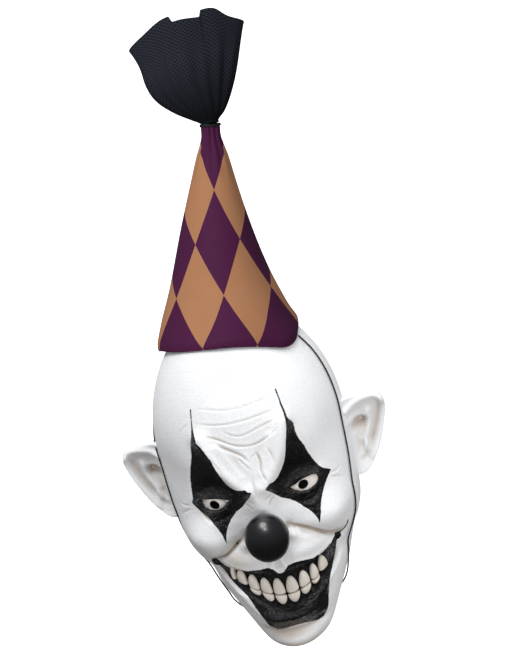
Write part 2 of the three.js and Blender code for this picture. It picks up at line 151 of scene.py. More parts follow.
# a mesh object from a skin in millimetres, shaded smooth,
# with values for each point and a map for each corner
def makePiece(name, skin, finish, values=None, cornerMap=None):
    points, quads, fans = skin
    corners = np.concatenate([quads.ravel(), fans.ravel()])
    sizes = np.concatenate([np.full(len(quads), 4), np.full(len(fans), 3)])
    starts = np.concatenate([[0], np.cumsum(sizes)[:-1]])
    mesh = bpy.data.meshes.new(name)
    mesh.vertices.add(len(points))
    mesh.vertices.foreach_set("co", (points * mm).astype(np.float32).ravel())
    mesh.loops.add(len(corners))
    mesh.loops.foreach_set("vertex_index", corners.astype(np.int32))
    mesh.polygons.add(len(sizes))
    mesh.polygons.foreach_set("loop_start", starts.astype(np.int32))
    mesh.update(calc_edges=True)
    mesh.shade_smooth()
    for key, value in (values or {}).items():
        layer = mesh.attributes.new(key, "FLOAT_VECTOR", "POINT")
        layer.data.foreach_set("vector", np.asarray(value, np.float32).ravel())
    if cornerMap is not None:
        layer = mesh.uv_layers.new(name="clothMap")
        layer.data.foreach_set("uv", np.asarray(cornerMap, np.float32).ravel())
    mesh.materials.append(finish)
    piece = bpy.data.objects.new(name, mesh)
    bpy.context.scene.collection.objects.link(piece)
    return piece


# each quad's four corners of a map that has one column more than its grid, fans left at nothing
def quadMap(area, fanCount, turned=False):
    corners = np.stack([area[:-1, :-1], area[1:, :-1], area[1:, 1:], area[:-1, 1:]], 2).reshape(-1, 4, 2)
    if turned:
        corners = corners[:, ::-1]
    return np.concatenate([corners.reshape(-1, 2), np.zeros((3 * fanCount, 2))])


# a round profile carried along a path: each ring stands square to the path, with one axis level
def tubeAlong(path, radius, sides):
    ahead = np.gradient(path, axis=0)
    ahead /= np.linalg.norm(ahead, axis=1, keepdims=True)
    side = np.cross(ahead, [0, 0, 1.0])
    side /= np.linalg.norm(side, axis=1, keepdims=True)
    over = np.cross(side, ahead)
    turn = np.linspace(0, 2 * np.pi, sides, endpoint=False)
    ring = np.cos(turn)[None, :, None] * side[:, None] + np.sin(turn)[None, :, None] * over[:, None]
    grid = path[:, None] + radius * ring
    return gridSkin(grid, path[0], path[-1])


# Materials: a new one with its tree and its shader
def startFinish(name, roughness):
    made = bpy.data.materials.new(name)
    made.use_nodes = True
    shader = made.node_tree.nodes["Principled BSDF"]
    shader.inputs["Roughness"].default_value = roughness
    return made, made.node_tree, shader


# a node with its settings, and its inputs either linked or set
def addNode(tree, kind, inputs=None, **settings):
    made = tree.nodes.new(kind)
    for key, value in settings.items():
        setattr(made, key, value)
    for key, value in (inputs or {}).items():
        if isinstance(value, bpy.types.NodeSocket):
            tree.links.new(value, made.inputs[key])
        else:
            made.inputs[key].default_value = value
    return made


# low where share is 0, high where it is 1
def mixColour(tree, share, low, high):
    return addNode(tree, "ShaderNodeMix", {0: share, 6: low, 7: high}, data_type="RGBA").outputs[2]


# the same for plain numbers
def mixValue(tree, share, low, high):
    return addNode(tree, "ShaderNodeMix", {0: share, 2: low, 3: high}).outputs[0]


# one sum on two values
def calc(tree, operation, a, b):
    return addNode(tree, "ShaderNodeMath", {0: a, 1: b}, operation=operation).outputs[0]


# 0 up to low, rising in a straight line to its top at high
def ramp(tree, value, low, high, to=1.0):
    inputs = {"Value": value, "From Min": low, "From Max": high, "To Max": to}
    return addNode(tree, "ShaderNodeMapRange", inputs).outputs[0]


# cloudy noise about 0.5 on Object coordinates; scale is in clouds a metre
def noise(tree, scale, detail):
    where = addNode(tree, "ShaderNodeTexCoord").outputs["Object"]
    inputs = {"Vector": where, "Scale": scale, "Detail": detail, "Roughness": 0.6}
    return addNode(tree, "ShaderNodeTexNoise", inputs).outputs["Fac"]


# the way out of the surface, bent by a height; distance is the height of 1, in metres
def bump(tree, height, strength, distance, under=None):
    inputs = {"Height": height, "Strength": strength, "Distance": distance}
    if under:
        inputs["Normal"] = under
    return addNode(tree, "ShaderNodeBump", inputs).outputs["Normal"]


# Elastic: from the hat's left side, under the chin, to the hat's right side
elastic = {
    "radius": 0.75, "sides": 10, "steps": 420,
    "tone": (0.012, 0.012, 0.014, 1), "roughness": 0.62, "grain": 2600, "grainDeep": 0.0003,
    "route": [  # in metres, as the solid's
        (-0.0575, 0.0483, -0.0409), (-0.0634, 0.046, -0.048), (-0.0729, 0.04, -0.063),
        (-0.0839, 0.029, -0.082), (-0.0888, 0.015, -0.097), (-0.0904, 0.002, -0.107),
        (-0.0902, -0.01, -0.114), (-0.089, -0.017, -0.123), (-0.0882, -0.0205, -0.135),
        (-0.0879, -0.0225, -0.147), (-0.0877, -0.0225, -0.158), (-0.088, -0.0195, -0.168),
        (-0.088, -0.016, -0.178), (-0.0872, -0.013, -0.194), (-0.0853, -0.0125, -0.206),
        (-0.0801, -0.017, -0.219), (-0.0696, -0.029, -0.233), (-0.0639, -0.035, -0.247),
        (-0.0577, -0.04, -0.261), (-0.0534, -0.0424, -0.271), (-0.0436, -0.0376, -0.285),
        (-0.024, -0.033, -0.294), (0.0, -0.03, -0.297), (0.024, -0.033, -0.294),
        (0.044, -0.038, -0.282), (0.0543, -0.043, -0.269), (0.0609, -0.044, -0.25),
        (0.0643, -0.043, -0.235), (0.0714, -0.045, -0.221), (0.0779, -0.0466, -0.207),
        (0.0811, -0.0474, -0.193), (0.082, -0.0446, -0.178), (0.0845, -0.035, -0.154),
        (0.0859, -0.029, -0.127), (0.0867, -0.026, -0.101), (0.0833, -0.02, -0.077),
        (0.076, -0.013, -0.057), (0.066, -0.011, -0.0399),
    ],
}


# even steps along a smooth curve through the route,
# keyed by the root of each chord so that it makes no loops
def routeLine():
    route = np.array(elastic["route"])
    chord = np.linalg.norm(np.diff(route, axis=0), axis=1)
    key = np.concatenate([[0], np.cumsum(np.sqrt(chord))])
    at = np.linspace(0, key[-1], elastic["steps"])
    return np.stack([readRows(key, route[:, axis], at) for axis in range(3)], -1)


# near-black cover with a fine grain
def elasticFinish():
    made, tree, shader = startFinish("elasticCord", elastic["roughness"])
    shader.inputs["Base Color"].default_value = elastic["tone"]
    grain = noise(tree, elastic["grain"], 2)
    tree.links.new(bump(tree, grain, 0.5, elastic["grainDeep"]), shader.inputs["Normal"])
    return made


# a round tube along the route, as long as the route measures
def makeElastic():
    line = routeLine()
    skin = joinSkins(tubeAlong(line / mm, elastic["radius"], elastic["sides"]))
    piece = makePiece("elastic_cord", skin, elasticFinish())
    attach(piece, "root")
    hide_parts("chin_elastic")


# Head: plain form, rows from the brow to the rim, and the rim by its turn from the front (degrees)
head = {
    "crownUp": 188, "browUp": 68, "domeTaper": 1.2, "roundness": 2.15, "domeShare": 0.2, "wall": 3,
    "browHalf": 89.3, "browFront": 98, "browBack": 110,
    "sideFrom": -0.05, "sideTo": 0.3,  # the relief fades over these cosines of the turn
    # turn or angle from the crown where each run starts, steps in it
    "columns": [(-180, 10), (-115, 14), (-64, 18), (-48, 212), (48, 18), (64, 14), (115, 10)],
    "domeRings": [(2, 12), (62, 64)],
    "faceRings": 216, "hollowRings": 16, "hollowTop": 0.02,
}
headRows = {
    "up": [96, 68, 40, 10, -20, -33, -45, -60, -75, -90, -105, -117, -127],
    "half": [88.5, 89.3, 89, 87.3, 84.6, 80, 74, 68, 61, 53.5, 46.5, 41, 36.5],
    "front": [97, 98, 97, 95, 95, 95.5, 96, 96.5, 97, 97.5, 96.5, 92.5, 82],
    "back": [108, 110, 108, 103, 97, 94, 92, 90, 90, 90, 90, 90, 90],
}
rimRows = {
    "turn": [0, 24, 42, 55, 66, 76, 85, 95, 115, 140, 180],
    "up": [-125, -122, -120, -112, -91, -67, -50, -36, -32, -40, -46],
}

# Relief of the face: rounded mounds, the same on both sides
moundRows = [  # across, up, wide, tall, rise
    ("forehead", 0, 112, 34, 22, 2),
    ("frown", 0, 60, 9, 17, 3),
    ("temple", 76, 58, 14, 26, -3),
    ("socket", 42, 42, 17, 22, -9),
    ("eyeball", 41, 29, 13, 8, 6),
    ("eyeBag", 40, 13, 17, 7, 2),
    ("cheek", 55, -3, 19, 17, 12),
    ("noseBridge", 0, 30, 8, 18, 6),
    ("nosePad", 0, -2, 15, 13, 3),
    ("nostril", 22, -9, 6, 7, 5),
    ("muzzle", 24, -28, 20, 9, 4),
    ("jowl", 66, -48, 10, 13, -3),
    ("lowerLip", 0, -88, 26, 7, 4),
    ("chin", 0, -114, 18, 8, 5),
]
# Relief: rolls and creases along a line through a few points;
# "both" mirrors it, and a crease has raised sides
crease = {"reach": 7, "fade": 0.25, "deep": 1.5, "sides": 0.5, "sidesWide": 2.6}
foldRows = [  # side, kind, wide, rise, points (x, up)
    ("browRoll", "both", "roll", 8, 7, [(37, 96), (26.5, 67), (9, 44)]),
    ("upperLid", "both", "roll", 5, 3, [(26, 37), (41.7, 39.2), (57, 36)]),
    ("laughLine", "both", "roll", 5, -5, [(20, -2), (41.5, -15.7), (62, -33)]),
    ("chinCrease", "both", "roll", 4, -3, [(0, -103), (14, -103), (28, -103)]),
    ("lidRim", "both", "roll", 1.5, 1.4, [(26, 34), (32, 37), (41, 38.2), (50, 38), (56, 36)]),
    ("lowLidRim", "both", "roll", 1.7, 1.8, [(26, 33), (33, 26.4), (42, 22.8), (50.5, 25.4), (56, 34)]),
    ("bagCrease", "both", "crease", 1.4, -1.3, [(27, 24), (36, 17.5), (46, 16), (57, 23)]),
    ("laughCreaseRight", "asIs", "crease", 1.5, -2.6,
        [(19, 0), (29, -5.4), (39, -12.4), (48.6, -21.5), (57, -28.4)]),
    ("laughCreaseLeft", "asIs", "crease", 1.5, -2.6,
        [(-22, -3.6), (-30.4, -9), (-39.8, -17.6), (-47.4, -23.2), (-57, -27)]),
    ("nostrilCrease", "both", "crease", 1.3, -0.8, [(21, 0), (24.5, -5), (24, -13), (20, -18)]),
    ("frownRight", "asIs", "crease", 1.2, -1.1, [(8.6, 80), (11, 68.4), (9.6, 58.9), (12.6, 45)]),
    ("frownHook", "asIs", "crease", 1, -0.5, [(2, 68), (3.2, 72), (6, 74.6), (10, 75.4)]),
    ("browFoldLeft", "asIs", "crease", 1.5, -1,
        [(-25, 93), (-18, 86.7), (-10.6, 81.6), (-3.5, 76), (2.1, 66)]),
    ("browFoldRight", "asIs", "crease", 1.3, -0.6, [(18.6, 81), (21.6, 72), (21.5, 62), (19, 52.5)]),
    ("frownMiddle", "asIs", "crease", 1.2, -0.7, [(-8.6, 76), (-4.6, 70.4), (0, 62)]),
    ("browLineLeft", "asIs", "crease", 1.2, -0.5, [(-36, 89), (-31.4, 80), (-26.4, 70.6), (-23.6, 63)]),
    ("frownRoll", "both", "roll", 4, 1.4, [(24, 88), (16, 72), (9, 58)]),
    ("bridgeLine", "both", "crease", 1, -0.5, [(4, 29), (8, 32.4), (12, 33)]),
    ("bridgeLineLow", "both", "crease", 1, -0.5, [(7, 22.4), (11, 28.4), (15, 30)]),
    ("crowUpper", "both", "crease", 1.1, -0.55, [(66, 29), (72.7, 26.6), (77, 28.4)]),
    ("crowLower", "both", "crease", 1.1, -0.55, [(65, 25.4), (72.3, 20.3), (77.6, 13.4)]),
    ("philtrumSide", "both", "roll", 2, 1, [(4, -30), (5, -35), (7, -41)]),
    ("lowerLipRoll", "both", "roll", 5, 2.5, [(0, -88), (18, -86), (32, -76), (41, -61)]),
    ("wrinkleTop", "asIs", "crease", 1, -0.45,
        [(-39, 123), (-26, 122), (-8.4, 118.7), (5.4, 118.3), (24, 119.2), (38, 119.8)]),
    ("wrinkleSecond", "asIs", "crease", 1, -0.6,
        [(-40, 112), (-25, 108.5), (-9, 107), (7, 107), (23, 108), (39, 108.6)]),
    ("wrinkleThird", "asIs", "crease", 1, -0.6,
        [(-18, 105.4), (-10.2, 98), (-2, 94.7), (8.8, 95.8), (21, 98.6), (41, 102)]),
    ("wrinkleLow", "asIs", "crease", 1.1, -0.75,
        [(-41, 101.4), (-30.8, 99.5), (-20.4, 94.7), (-10.4, 88.4), (-1, 85),
        (10.3, 84), (22.8, 88), (36, 95.4)]),
    ("templeLine", "asIs", "crease", 1, -0.3, [(-55, 101), (-51, 106.4), (-43, 111.6)]),
]
# Mouth, read across from the middle to the corner; the whole mouth tilts down to the right
mouthRows = {
    "across": [0, 10, 20, 30, 40, 48, 60],
    "lip": [-44, -39, -38, -39, -37, -33, -31],
    "gumTop": [-50.6, -50, -48, -45, -41.3, -37.8, -35],
    "bite": [-67, -66, -63, -59.5, -54.7, -51, -40],
    "gumLow": [-77, -75.5, -71, -65, -58.5, -54, -42],
}
mouth = {
    "depth": 5.6, "lipRise": 1.2, "lipWide": 4, "room": 2.4, "edge": 5, "corner": 54.5, "cornerFade": 8,
    "tilt": 0.08,
}
eye = {
    "across": 41.4, "up": 31, "pupil": 4.2, "ball": 1.6, "wide": 14, "tall": 9, "sunk": -3.2,
    "lidFrom": -0.4, "lidTo": 0.9, "holeDepths": (60, 75, 90, 105, 130), "holeSides": 40,
}
eyeRows = {
    "across": [27, 30, 34, 41, 48, 52, 54.6],
    "top": [34.2, 35, 35.8, 36.3, 36.4, 36.2, 35.4],
    "low": [34.2, 31.4, 28, 25, 25.8, 29, 35.4],
}
# Paint outlines on the face, each a closed run of (x, up)
paint = {
    "none": -50.0, "holeWall": 5.0,  # distances where there is no paint, and in the holes
    "sideEnd": 0.05,  # no paint where the cosine of the turn is less
    "leftPatch": [(-39.5, 122), (-40.5, 114.5), (-41.5, 108.5), (-41.5, 104.5), (-41, 101), (-41, 96.5),
        (-38, 93), (-35, 86.5), (-32, 79), (-29.5, 68.5), (-27, 60.5), (-24.5, 52), (-21, 48.5),
        (-17, 46.5), (-8.5, 46.5), (-7.5, 44.5), (-3.5, 42.5), (-8.5, 35.5), (-15.5, 27.5), (-23.5, 22.5),
        (-29.5, 16.5), (-34, 10.5), (-37.5, 3.5), (-39, -2.5), (-39.5, -8.5), (-40.5, -3), (-41.5, 3.5),
        (-44.5, 10.5), (-48.5, 16), (-53, 20.5), (-60.5, 28.5), (-61, 29), (-63, 31.5), (-61, 36.5),
        (-59.5, 47.5), (-57.5, 58.5), (-53.5, 71), (-49.5, 81.5), (-48, 90.5), (-46.5, 96.5),
        (-44.5, 101.5), (-42.5, 108.5), (-41, 114.5)],
    "rightPatch": [(39.5, 122.5), (40.5, 117), (41.5, 110.5), (43, 104.5), (44, 99), (46, 95),
        (47.5, 90.5), (47, 84), (48, 76), (51, 66.5), (52.5, 57), (55.5, 47), (58.5, 40.5), (63, 35),
        (67.5, 31), (65.5, 28.5), (62, 25), (58.5, 20.5), (56, 16.5), (53.5, 12), (51, 4.5), (51, 3.5),
        (47, -8.5), (46.5, -1), (44, 3.5), (41, 8), (37, 12.5), (33.5, 16.5), (27, 22.5), (20, 27),
        (15.5, 32), (9, 42.5), (14, 46.5), (18, 46), (22.5, 48.5), (26.5, 53.5), (30.5, 59), (33.5, 66.5),
        (36.5, 76), (39, 85), (41, 91.5), (42, 98.5), (41.5, 103), (40, 111), (40, 117.5)],
    "leftWhite": [(-51.9, 37.1), (-46.7, 36.6), (-39.6, 36.6), (-32.3, 36.8), (-26.4, 36), (-30.3, 31.4),
        (-34.1, 28.4), (-38.8, 26.2), (-42.8, 25.6), (-47.1, 26.4), (-50.6, 29), (-52, 32.5)],
    "rightWhite": [(29.6, 33), (34.5, 34.1), (39.6, 35.7), (45.5, 36.3), (51.5, 36.5), (54.8, 36.1),
        (55.6, 33), (55, 29.6), (52, 27.3), (47.5, 25.5), (43.8, 24.9), (38.2, 26), (33.2, 29.1)],
    "mouthBlack": [(-63, -34), (-56.5, -29), (-54, -31.5), (-50, -37), (-44.5, -38.5), (-39, -40),
        (-30.5, -36), (-23.5, -36), (-16.5, -36.5), (-11.5, -36), (-8.5, -36), (-5, -38), (-2, -42),
        (1, -46), (4.5, -43.5), (7.5, -40), (10, -38), (16.5, -37), (22, -37.5), (27.5, -38.5),
        (33.5, -40), (37, -43.5), (42, -42.5), (47, -40.5), (52.5, -33), (55, -32), (55.5, -30.5),
        (60, -34), (60.5, -38), (58.5, -39), (56, -38.5), (54, -43.5), (52, -50), (49, -56), (46, -61),
        (43, -66), (41, -69.5), (38.5, -77.5), (36, -86), (34, -94), (31, -100.5), (27, -104.5),
        (22, -104), (16.5, -102), (10, -98.5), (3, -98), (-4, -99), (-11.5, -101), (-17, -102),
        (-21, -100), (-24, -95), (-25.5, -87.5), (-27.5, -83), (-30.5, -77), (-33, -70), (-35.5, -64.5),
        (-39.5, -60.5), (-44, -56.5), (-48, -52), (-50.5, -47), (-53, -42), (-55.5, -37), (-61.5, -38.5)],
    "lines": [  # half width, points: the right cheek, and the drawn-out tips of both patches
        (0.7, [(59.5, -34), (63, -33.5), (66, -31.5), (68.5, -27.5), (70, -24.5)]),
        (0.55, [(-39.6, 123), (-41.1, 114.6), (-42.4, 106.2)]),
        (0.6, [(39.2, 123.5), (40.4, 115.1), (41.2, 107.3)]),
    ],
}

# Painted shade on the white latex under the chin, cheeks and jaw: beige soft ovals in the front view
paintedShadeRows = [  # across, up, wide, tall, strength
    ("chinEdge", -8, -106, 26, 6, 1),
    ("chinUnder", 0, -121, 34, 10, 0.9),
    ("jawLeft", -56, -62, 8, 24, 0.55),
    ("jawRight", 60, -62, 6, 20, 0.25),
    ("cheekUnderLeft", -34, -26, 18, 9, 0.8),
    ("cheekUnderRight", 42, -20, 15, 4, 0.4),
    ("noseLeft", -24, -14, 7, 11, 0.45),
    ("philtrum", 2, -34, 6, 8, 0.25),
]
# Painted shade in the creases and hollows: how far the relief lies under its own mean,
# with few means for creases and many for hollows
cavityShade = {
    "creaseMeans": 12, "creaseDeep": 0.8, "hollowMeans": 160, "hollowDeep": 4,
    "sideFrom": 0.42, "sideTo": 0.68,  # it fades over these cosines of the turn
}


# half width, front and back reach at a height:
# the rows up to the brow, then a dome that closes as a circle
def levelOf(up):
    share = np.clip((up - head["browUp"]) / (head["crownUp"] - head["browUp"]), 0, 1)
    k = np.sqrt(np.maximum(1 - share * share, 0))
    rowUp = np.minimum(up, head["browUp"])
    low = {key: readRows(headRows["up"], headRows[key], rowUp) for key in ("half", "front", "back")}
    above = up > head["browUp"]
    half = np.where(above, head["browHalf"] * k ** head["domeTaper"], low["half"])
    front = np.where(above, head["browFront"] * k, low["front"])
    return half, front, np.where(above, head["browBack"] * k, low["back"])


# plain head: a squarish oval at each level;
# drop is 0 at the crown, domeShare at the brow and 1 at the rim
def headPoint(turn, drop):
    high, share = head["crownUp"] - head["browUp"], head["domeShare"]
    rim = readRows(rimRows["turn"], rimRows["up"], np.degrees(np.abs(turn)))
    dome = head["browUp"] + high * np.cos(np.clip(drop / share, 0, 1) * np.pi / 2)
    below = head["browUp"] + (rim - head["browUp"]) * (drop - share) / (1 - share)
    up = np.where(drop < share, dome, below)
    half, front, back = levelOf(up)
    reach = np.where(np.cos(turn) > 0, front, back)
    bend = 2 / head["roundness"]
    across = half * power(np.sin(turn), bend)
    return np.stack([across, -reach * power(np.cos(turn), bend), up], -1)


# way out of the plain head: across the steps round it and down it
def headNormal(turn, drop, step=0.004):
    aside = headPoint(turn + step, drop) - headPoint(turn - step, drop)
    down = headPoint(turn, np.minimum(drop + step, 1)) - headPoint(turn, np.maximum(drop - step, 0))
    out = np.cross(down, aside)
    return out / np.maximum(np.linalg.norm(out, axis=-1, keepdims=True), 1e-9)


# distance in the front view to a smooth line through points, and the share of the way along it
def lineDistance(points, x, up, pieces=18):
    p = np.array(points, float)
    key = np.concatenate([[0], np.cumsum(np.linalg.norm(np.diff(p, axis=0), axis=1))])
    at = np.linspace(0, key[-1], pieces + 1)
    line = np.stack([readRows(key, p[:, 0], at), readRows(key, p[:, 1], at)], -1)
    nearest = np.full(x.shape, 1e9)
    along = np.zeros(x.shape)
    for k in range(pieces):
        a, span = line[k], line[k + 1] - line[k]
        t = np.clip(((x - a[0]) * span[0] + (up - a[1]) * span[1]) / (span @ span), 0, 1)
        gap = np.hypot(x - a[0] - t * span[0], up - a[1] - t * span[1])
        closer = gap < nearest
        nearest = np.where(closer, gap, nearest)
        along = np.where(closer, (k + t) / pieces, along)
    return nearest, along


# height of the eye opening's edge over a point: how far it is inside the upper and the lower lid
def eyeInside(x, up):
    across = np.abs(x)
    top = readRows(eyeRows["across"], eyeRows["top"], across) - up
    low = up - readRows(eyeRows["across"], eyeRows["low"], across)
    ends = np.minimum(across - eyeRows["across"][0], eyeRows["across"][-1] - across)
    return np.minimum(np.minimum(top, low), ends)


# height of one of the mouth's lines at a place across the face
def mouthLine(line, x):
    return readRows(mouthRows["across"], mouthRows[line], np.abs(x)) - mouth["tilt"] * x


# relief over the plain head: bells for the mounds and folds, then the mouth and the eyes are let in
def relief(x, up):
    across = np.abs(x)
    rise = np.zeros(x.shape)
    for name, a, u, wide, tall, high in moundRows:
        rise += high * bell(np.hypot((across - a) / wide, (up - u) / tall))
    for name, side, kind, wide, high, points in foldRows:
        at = across if side == "both" else x
        p = np.array(points, float)
        reach = crease["reach"] * wide
        near = (at > p[:, 0].min() - reach) & (at < p[:, 0].max() + reach)
        near &= (up > p[:, 1].min() - reach) & (up < p[:, 1].max() + reach)
        gap, along = lineDistance(points, at[near], up[near])
        if kind == "roll":
            rise[near] += high * bell(gap / wide)
        else:
            fade = smooth(0, crease["fade"], along) * smooth(0, crease["fade"], 1 - along)
            sides = crease["sides"] * bell(gap / (crease["sidesWide"] * wide))
            rise[near] += high * fade * (crease["deep"] * bell(gap / wide) - sides)
    lip = mouthLine("lip", x)
    top = mouthLine("gumTop", x) + mouth["room"]
    low = mouthLine("gumLow", x) - mouth["room"]
    inMouth = 1 - smooth(mouth["corner"], mouth["corner"] + mouth["cornerFade"], across)
    rise += mouth["lipRise"] * inMouth * bell((up - lip) / mouth["lipWide"])
    opened = smooth(low - mouth["edge"], low, up) * (1 - smooth(top, top + mouth["edge"], up)) * inMouth
    rise = rise * (1 - opened) - mouth["depth"] * opened
    inEye = smooth(eye["lidFrom"], eye["lidTo"], eyeInside(x, up))
    ball = 1 - ((across - eye["across"]) / eye["wide"]) ** 2 - ((up - eye["up"]) / eye["tall"]) ** 2
    return rise * (1 - inEye) + (eye["sunk"] + eye["ball"] * ball) * inEye


# head with its relief, along the way out of the plain head, fading at the sides;
# the hollow keeps the least of the relief around, less the wall
def facePoint(turn, drop, thinner=0, side=6):
    p = headPoint(turn, drop)
    high = relief(p[..., 0], p[..., 2])
    if thinner:
        for dx, dz in ((side, 0), (-side, 0), (0, side), (0, -side)):
            high = np.minimum(high, relief(p[..., 0] + dx, p[..., 2] + dz))
    facing = smooth(head["sideFrom"], head["sideTo"], np.cos(turn))
    out = headNormal(turn, drop)
    return p + out * (high * facing - thinner)[..., None], high * facing


# a point of the front view, raised over the plain head along its own way out
def overFace(x, up, rise, step=0.5):
    def at(across, height):
        half, front = levelOf(height)[:2]
        share = np.clip(np.abs(across) / half, 0, 1) ** head["roundness"]
        return np.stack([across, -front * (1 - share) ** (1 / head["roundness"]), height], -1)
    aside = at(x + step, up) - at(x - step, up)
    rising = at(x, up + step) - at(x, up - step)
    out = np.cross(aside, rising)
    out /= np.linalg.norm(out, axis=-1, keepdims=True)
    return at(x, up) + out * np.asarray(rise)[..., None] + [0, 0, zeroUp]


# signed distance to a closed outline in the front view, above 0 inside: that to the nearest side,
# and inside where a line to the left crosses an odd number of sides
def outlineDistance(points, x, up):
    p = np.array(points + points[:1], float)
    nearest = np.full(x.shape, 1e9)
    inside = np.zeros(x.shape, bool)
    for a, b in zip(p[:-1], p[1:]):
        span = b - a
        t = np.clip(((x - a[0]) * span[0] + (up - a[1]) * span[1]) / (span @ span), 0, 1)
        nearest = np.minimum(nearest, np.hypot(x - a[0] - t * span[0], up - a[1] - t * span[1]))
        if a[1] != b[1]:
            level = (up > min(a[1], b[1])) & (up <= max(a[1], b[1]))
            inside ^= level & (a[0] + (up - a[1]) / span[1] * span[0] < x)
    return np.where(inside, nearest, -nearest)


# paint as distances in millimetres, above 0 inside: all the black, the white of the eyes, the pupils
def paintValues(x, up):
    black = np.full(x.shape, paint["none"])
    for half, points in paint["lines"]:
        black = np.maximum(black, half - lineDistance(points, x, up)[0])
    for name in ("leftPatch", "rightPatch", "mouthBlack"):
        black = np.maximum(black, outlineDistance(paint[name], x, up))
    white = np.maximum(*(outlineDistance(paint[name], x, up) for name in ("leftWhite", "rightWhite")))
    pupil = eye["pupil"] - np.hypot(np.abs(x) - eye["across"], up - eye["up"])
    return np.stack([black, white, pupil], -1)


# strength of the painted beige shade at a point: the largest of the soft ovals
def paintedShadeAt(x, up):
    strength = np.zeros(x.shape)
    for name, across, height, wide, tall, most in paintedShadeRows:
        strength = np.maximum(strength, most * bell(np.hypot((x - across) / wide, (up - height) / tall)))
    return strength


# mean of each point's neighbours on the grid, taken several times
def blurred(grid, times):
    for _ in range(times):
        grid = (np.roll(grid, 1, 1) + np.roll(grid, -1, 1) + 2 * grid) / 4
        grid = (np.vstack([grid[:1], grid[:-1]]) + np.vstack([grid[1:], grid[-1:]]) + 2 * grid) / 4
    return grid


# even runs of values between stated starts
def runs(rows, end):
    starts = [row[0] for row in rows] + [end]
    return np.concatenate([
        np.linspace(a, b, row[1], endpoint=False) for a, b, row in zip(starts, starts[1:], rows)
    ])


# Ears: the outline in the front view, and folds over its bowl
ear = {
    "across": 101, "up": 34, "front": 8, "sweep": 0.3, "from": 86, "sunk": 1.6,
    "bowl": -7, "bowlPower": 2.5, "backPower": 2, "backDeeper": 1.15, "thick": 5,
    "flare": 7, "flareReach": 5, "shadeDeep": 11,
    "columns": 72, "rings": 26, "rimRings": 6, "backRings": 6,
    "firstRing": 0.03, "rimStart": 0.96, "rimRound": 0.04, "lastRing": 0.06,
    "outline": [
        (86, 74), (93, 73.5), (101, 72.5), (109, 72), (117, 70.5), (124, 66), (126.5, 56), (123.5, 43),
        (118.5, 30), (113, 18), (106, 7), (99, -2), (92, -5), (86, -2), (85, 16), (87, 44),
    ],
    "folds": [  # wide, rise, points (across, up)
        ("helixTop", 3.4, 4.5, [(91, 62), (100, 65.5), (110, 67), (119, 66), (124, 61)]),
        ("helixSide", 3, 2.6, [(124, 61), (123.5, 52), (119, 38), (112, 23), (105, 9)]),
        ("helixFront", 4, 3.5, [(91, 62), (90.5, 54), (91, 45)]),
        ("groove", 2.6, -3.2, [(120.5, 57), (117, 45), (113, 36), (108, 26), (102, 17), (96, 9)]),
        ("antihelix", 3.4, 4.8, [(109, 53), (108, 44), (105, 34), (101, 25), (99.5, 17)]),
        ("crus", 2.4, 2.2, [(92, 50), (98, 51.5), (104, 50)]),
        ("concha", 5, -7.5, [(93, 43), (98, 43.5), (101, 44)]),
        ("lowPit", 3.4, -2.5, [(96.5, 22), (97, 17)]),
        ("antitragus", 3, 2.2, [(95, 12), (99, 15), (102, 21)]),
    ],
}


# ear: rings from the middle of the bowl to the outline, over a round rim, and back to the middle behind;
# the bowl lies on a swept plane and carries its folds, and near the head both sides flare into it
def earSkin(side):
    p = np.array(ear["outline"] + ear["outline"][:1], float)
    key = np.concatenate([[0], np.cumsum(np.linalg.norm(np.diff(p, axis=0), axis=1))])
    wrapped = np.concatenate([key[-3:-1] - key[-1], key, key[1:3] + key[-1]])
    p = np.concatenate([p[-3:-1], p, p[1:3]])
    at = np.linspace(0, key[-1], ear["columns"], endpoint=False)
    edgeX, edgeUp = readRows(wrapped, p[:, 0], at), readRows(wrapped, p[:, 1], at)
    over = np.linspace(0, np.pi, ear["rimRings"] + 2)[1:-1]
    reach = np.concatenate([
        np.linspace(ear["firstRing"], ear["rimStart"], ear["rings"]),
        ear["rimStart"] + ear["rimRound"] * np.sin(over),
        np.linspace(ear["rimStart"], ear["lastRing"], ear["backRings"]),
    ])[:, None]
    behind = np.concatenate([
        np.zeros(ear["rings"]), (1 - np.cos(over)) / 2, np.ones(ear["backRings"]),
    ])[:, None]
    x = ear["across"] + (edgeX - ear["across"]) * reach
    up = ear["up"] + (edgeUp - ear["up"]) * reach
    high = ear["bowl"] * (1 - reach ** ear["bowlPower"]) + np.zeros(x.shape)
    for name, wide, rise, points in ear["folds"]:
        high += rise * bell(lineDistance(points, x, up)[0] / wide)
    half = levelOf(up)[0]
    flare = ear["flare"] * np.exp(-np.maximum(x - half, 0) / ear["flareReach"])
    high += flare
    back = -ear["thick"] + ear["bowl"] * (1 - reach ** ear["backPower"]) * ear["backDeeper"] - flare
    rise = high * (1 - behind) + back * behind
    x = np.maximum(x, half - ear["sunk"])
    front = ear["front"] - ear["sweep"] * (x - ear["from"]) + rise
    grid = place(side * x, front, up)
    # painted shade in the bowl of the ear, darker where the bowl lies deeper
    shade = np.clip(-high / ear["shadeDeep"], 0, 1) * (1 - behind)
    paintedShade = np.stack([0 * shade, shade, 0 * shade], -1).reshape(-1, 3)
    skin = joinSkins(gridSkin(grid, grid[0].mean(0), grid[-1].mean(0)))
    return skin, np.concatenate([paintedShade, paintedShade[[0, -1]]])


# cylinder through the wall at each pupil
def pupilSkin(side):
    turn = np.linspace(0, 2 * np.pi, eye["holeSides"], endpoint=False)
    x = side * eye["across"] + eye["pupil"] * np.cos(turn)
    up = eye["up"] + eye["pupil"] * np.sin(turn)
    grid = np.stack([place(x, depth, up) for depth in eye["holeDepths"]])
    return gridSkin(grid, grid[0].mean(0), grid[-1].mean(0))


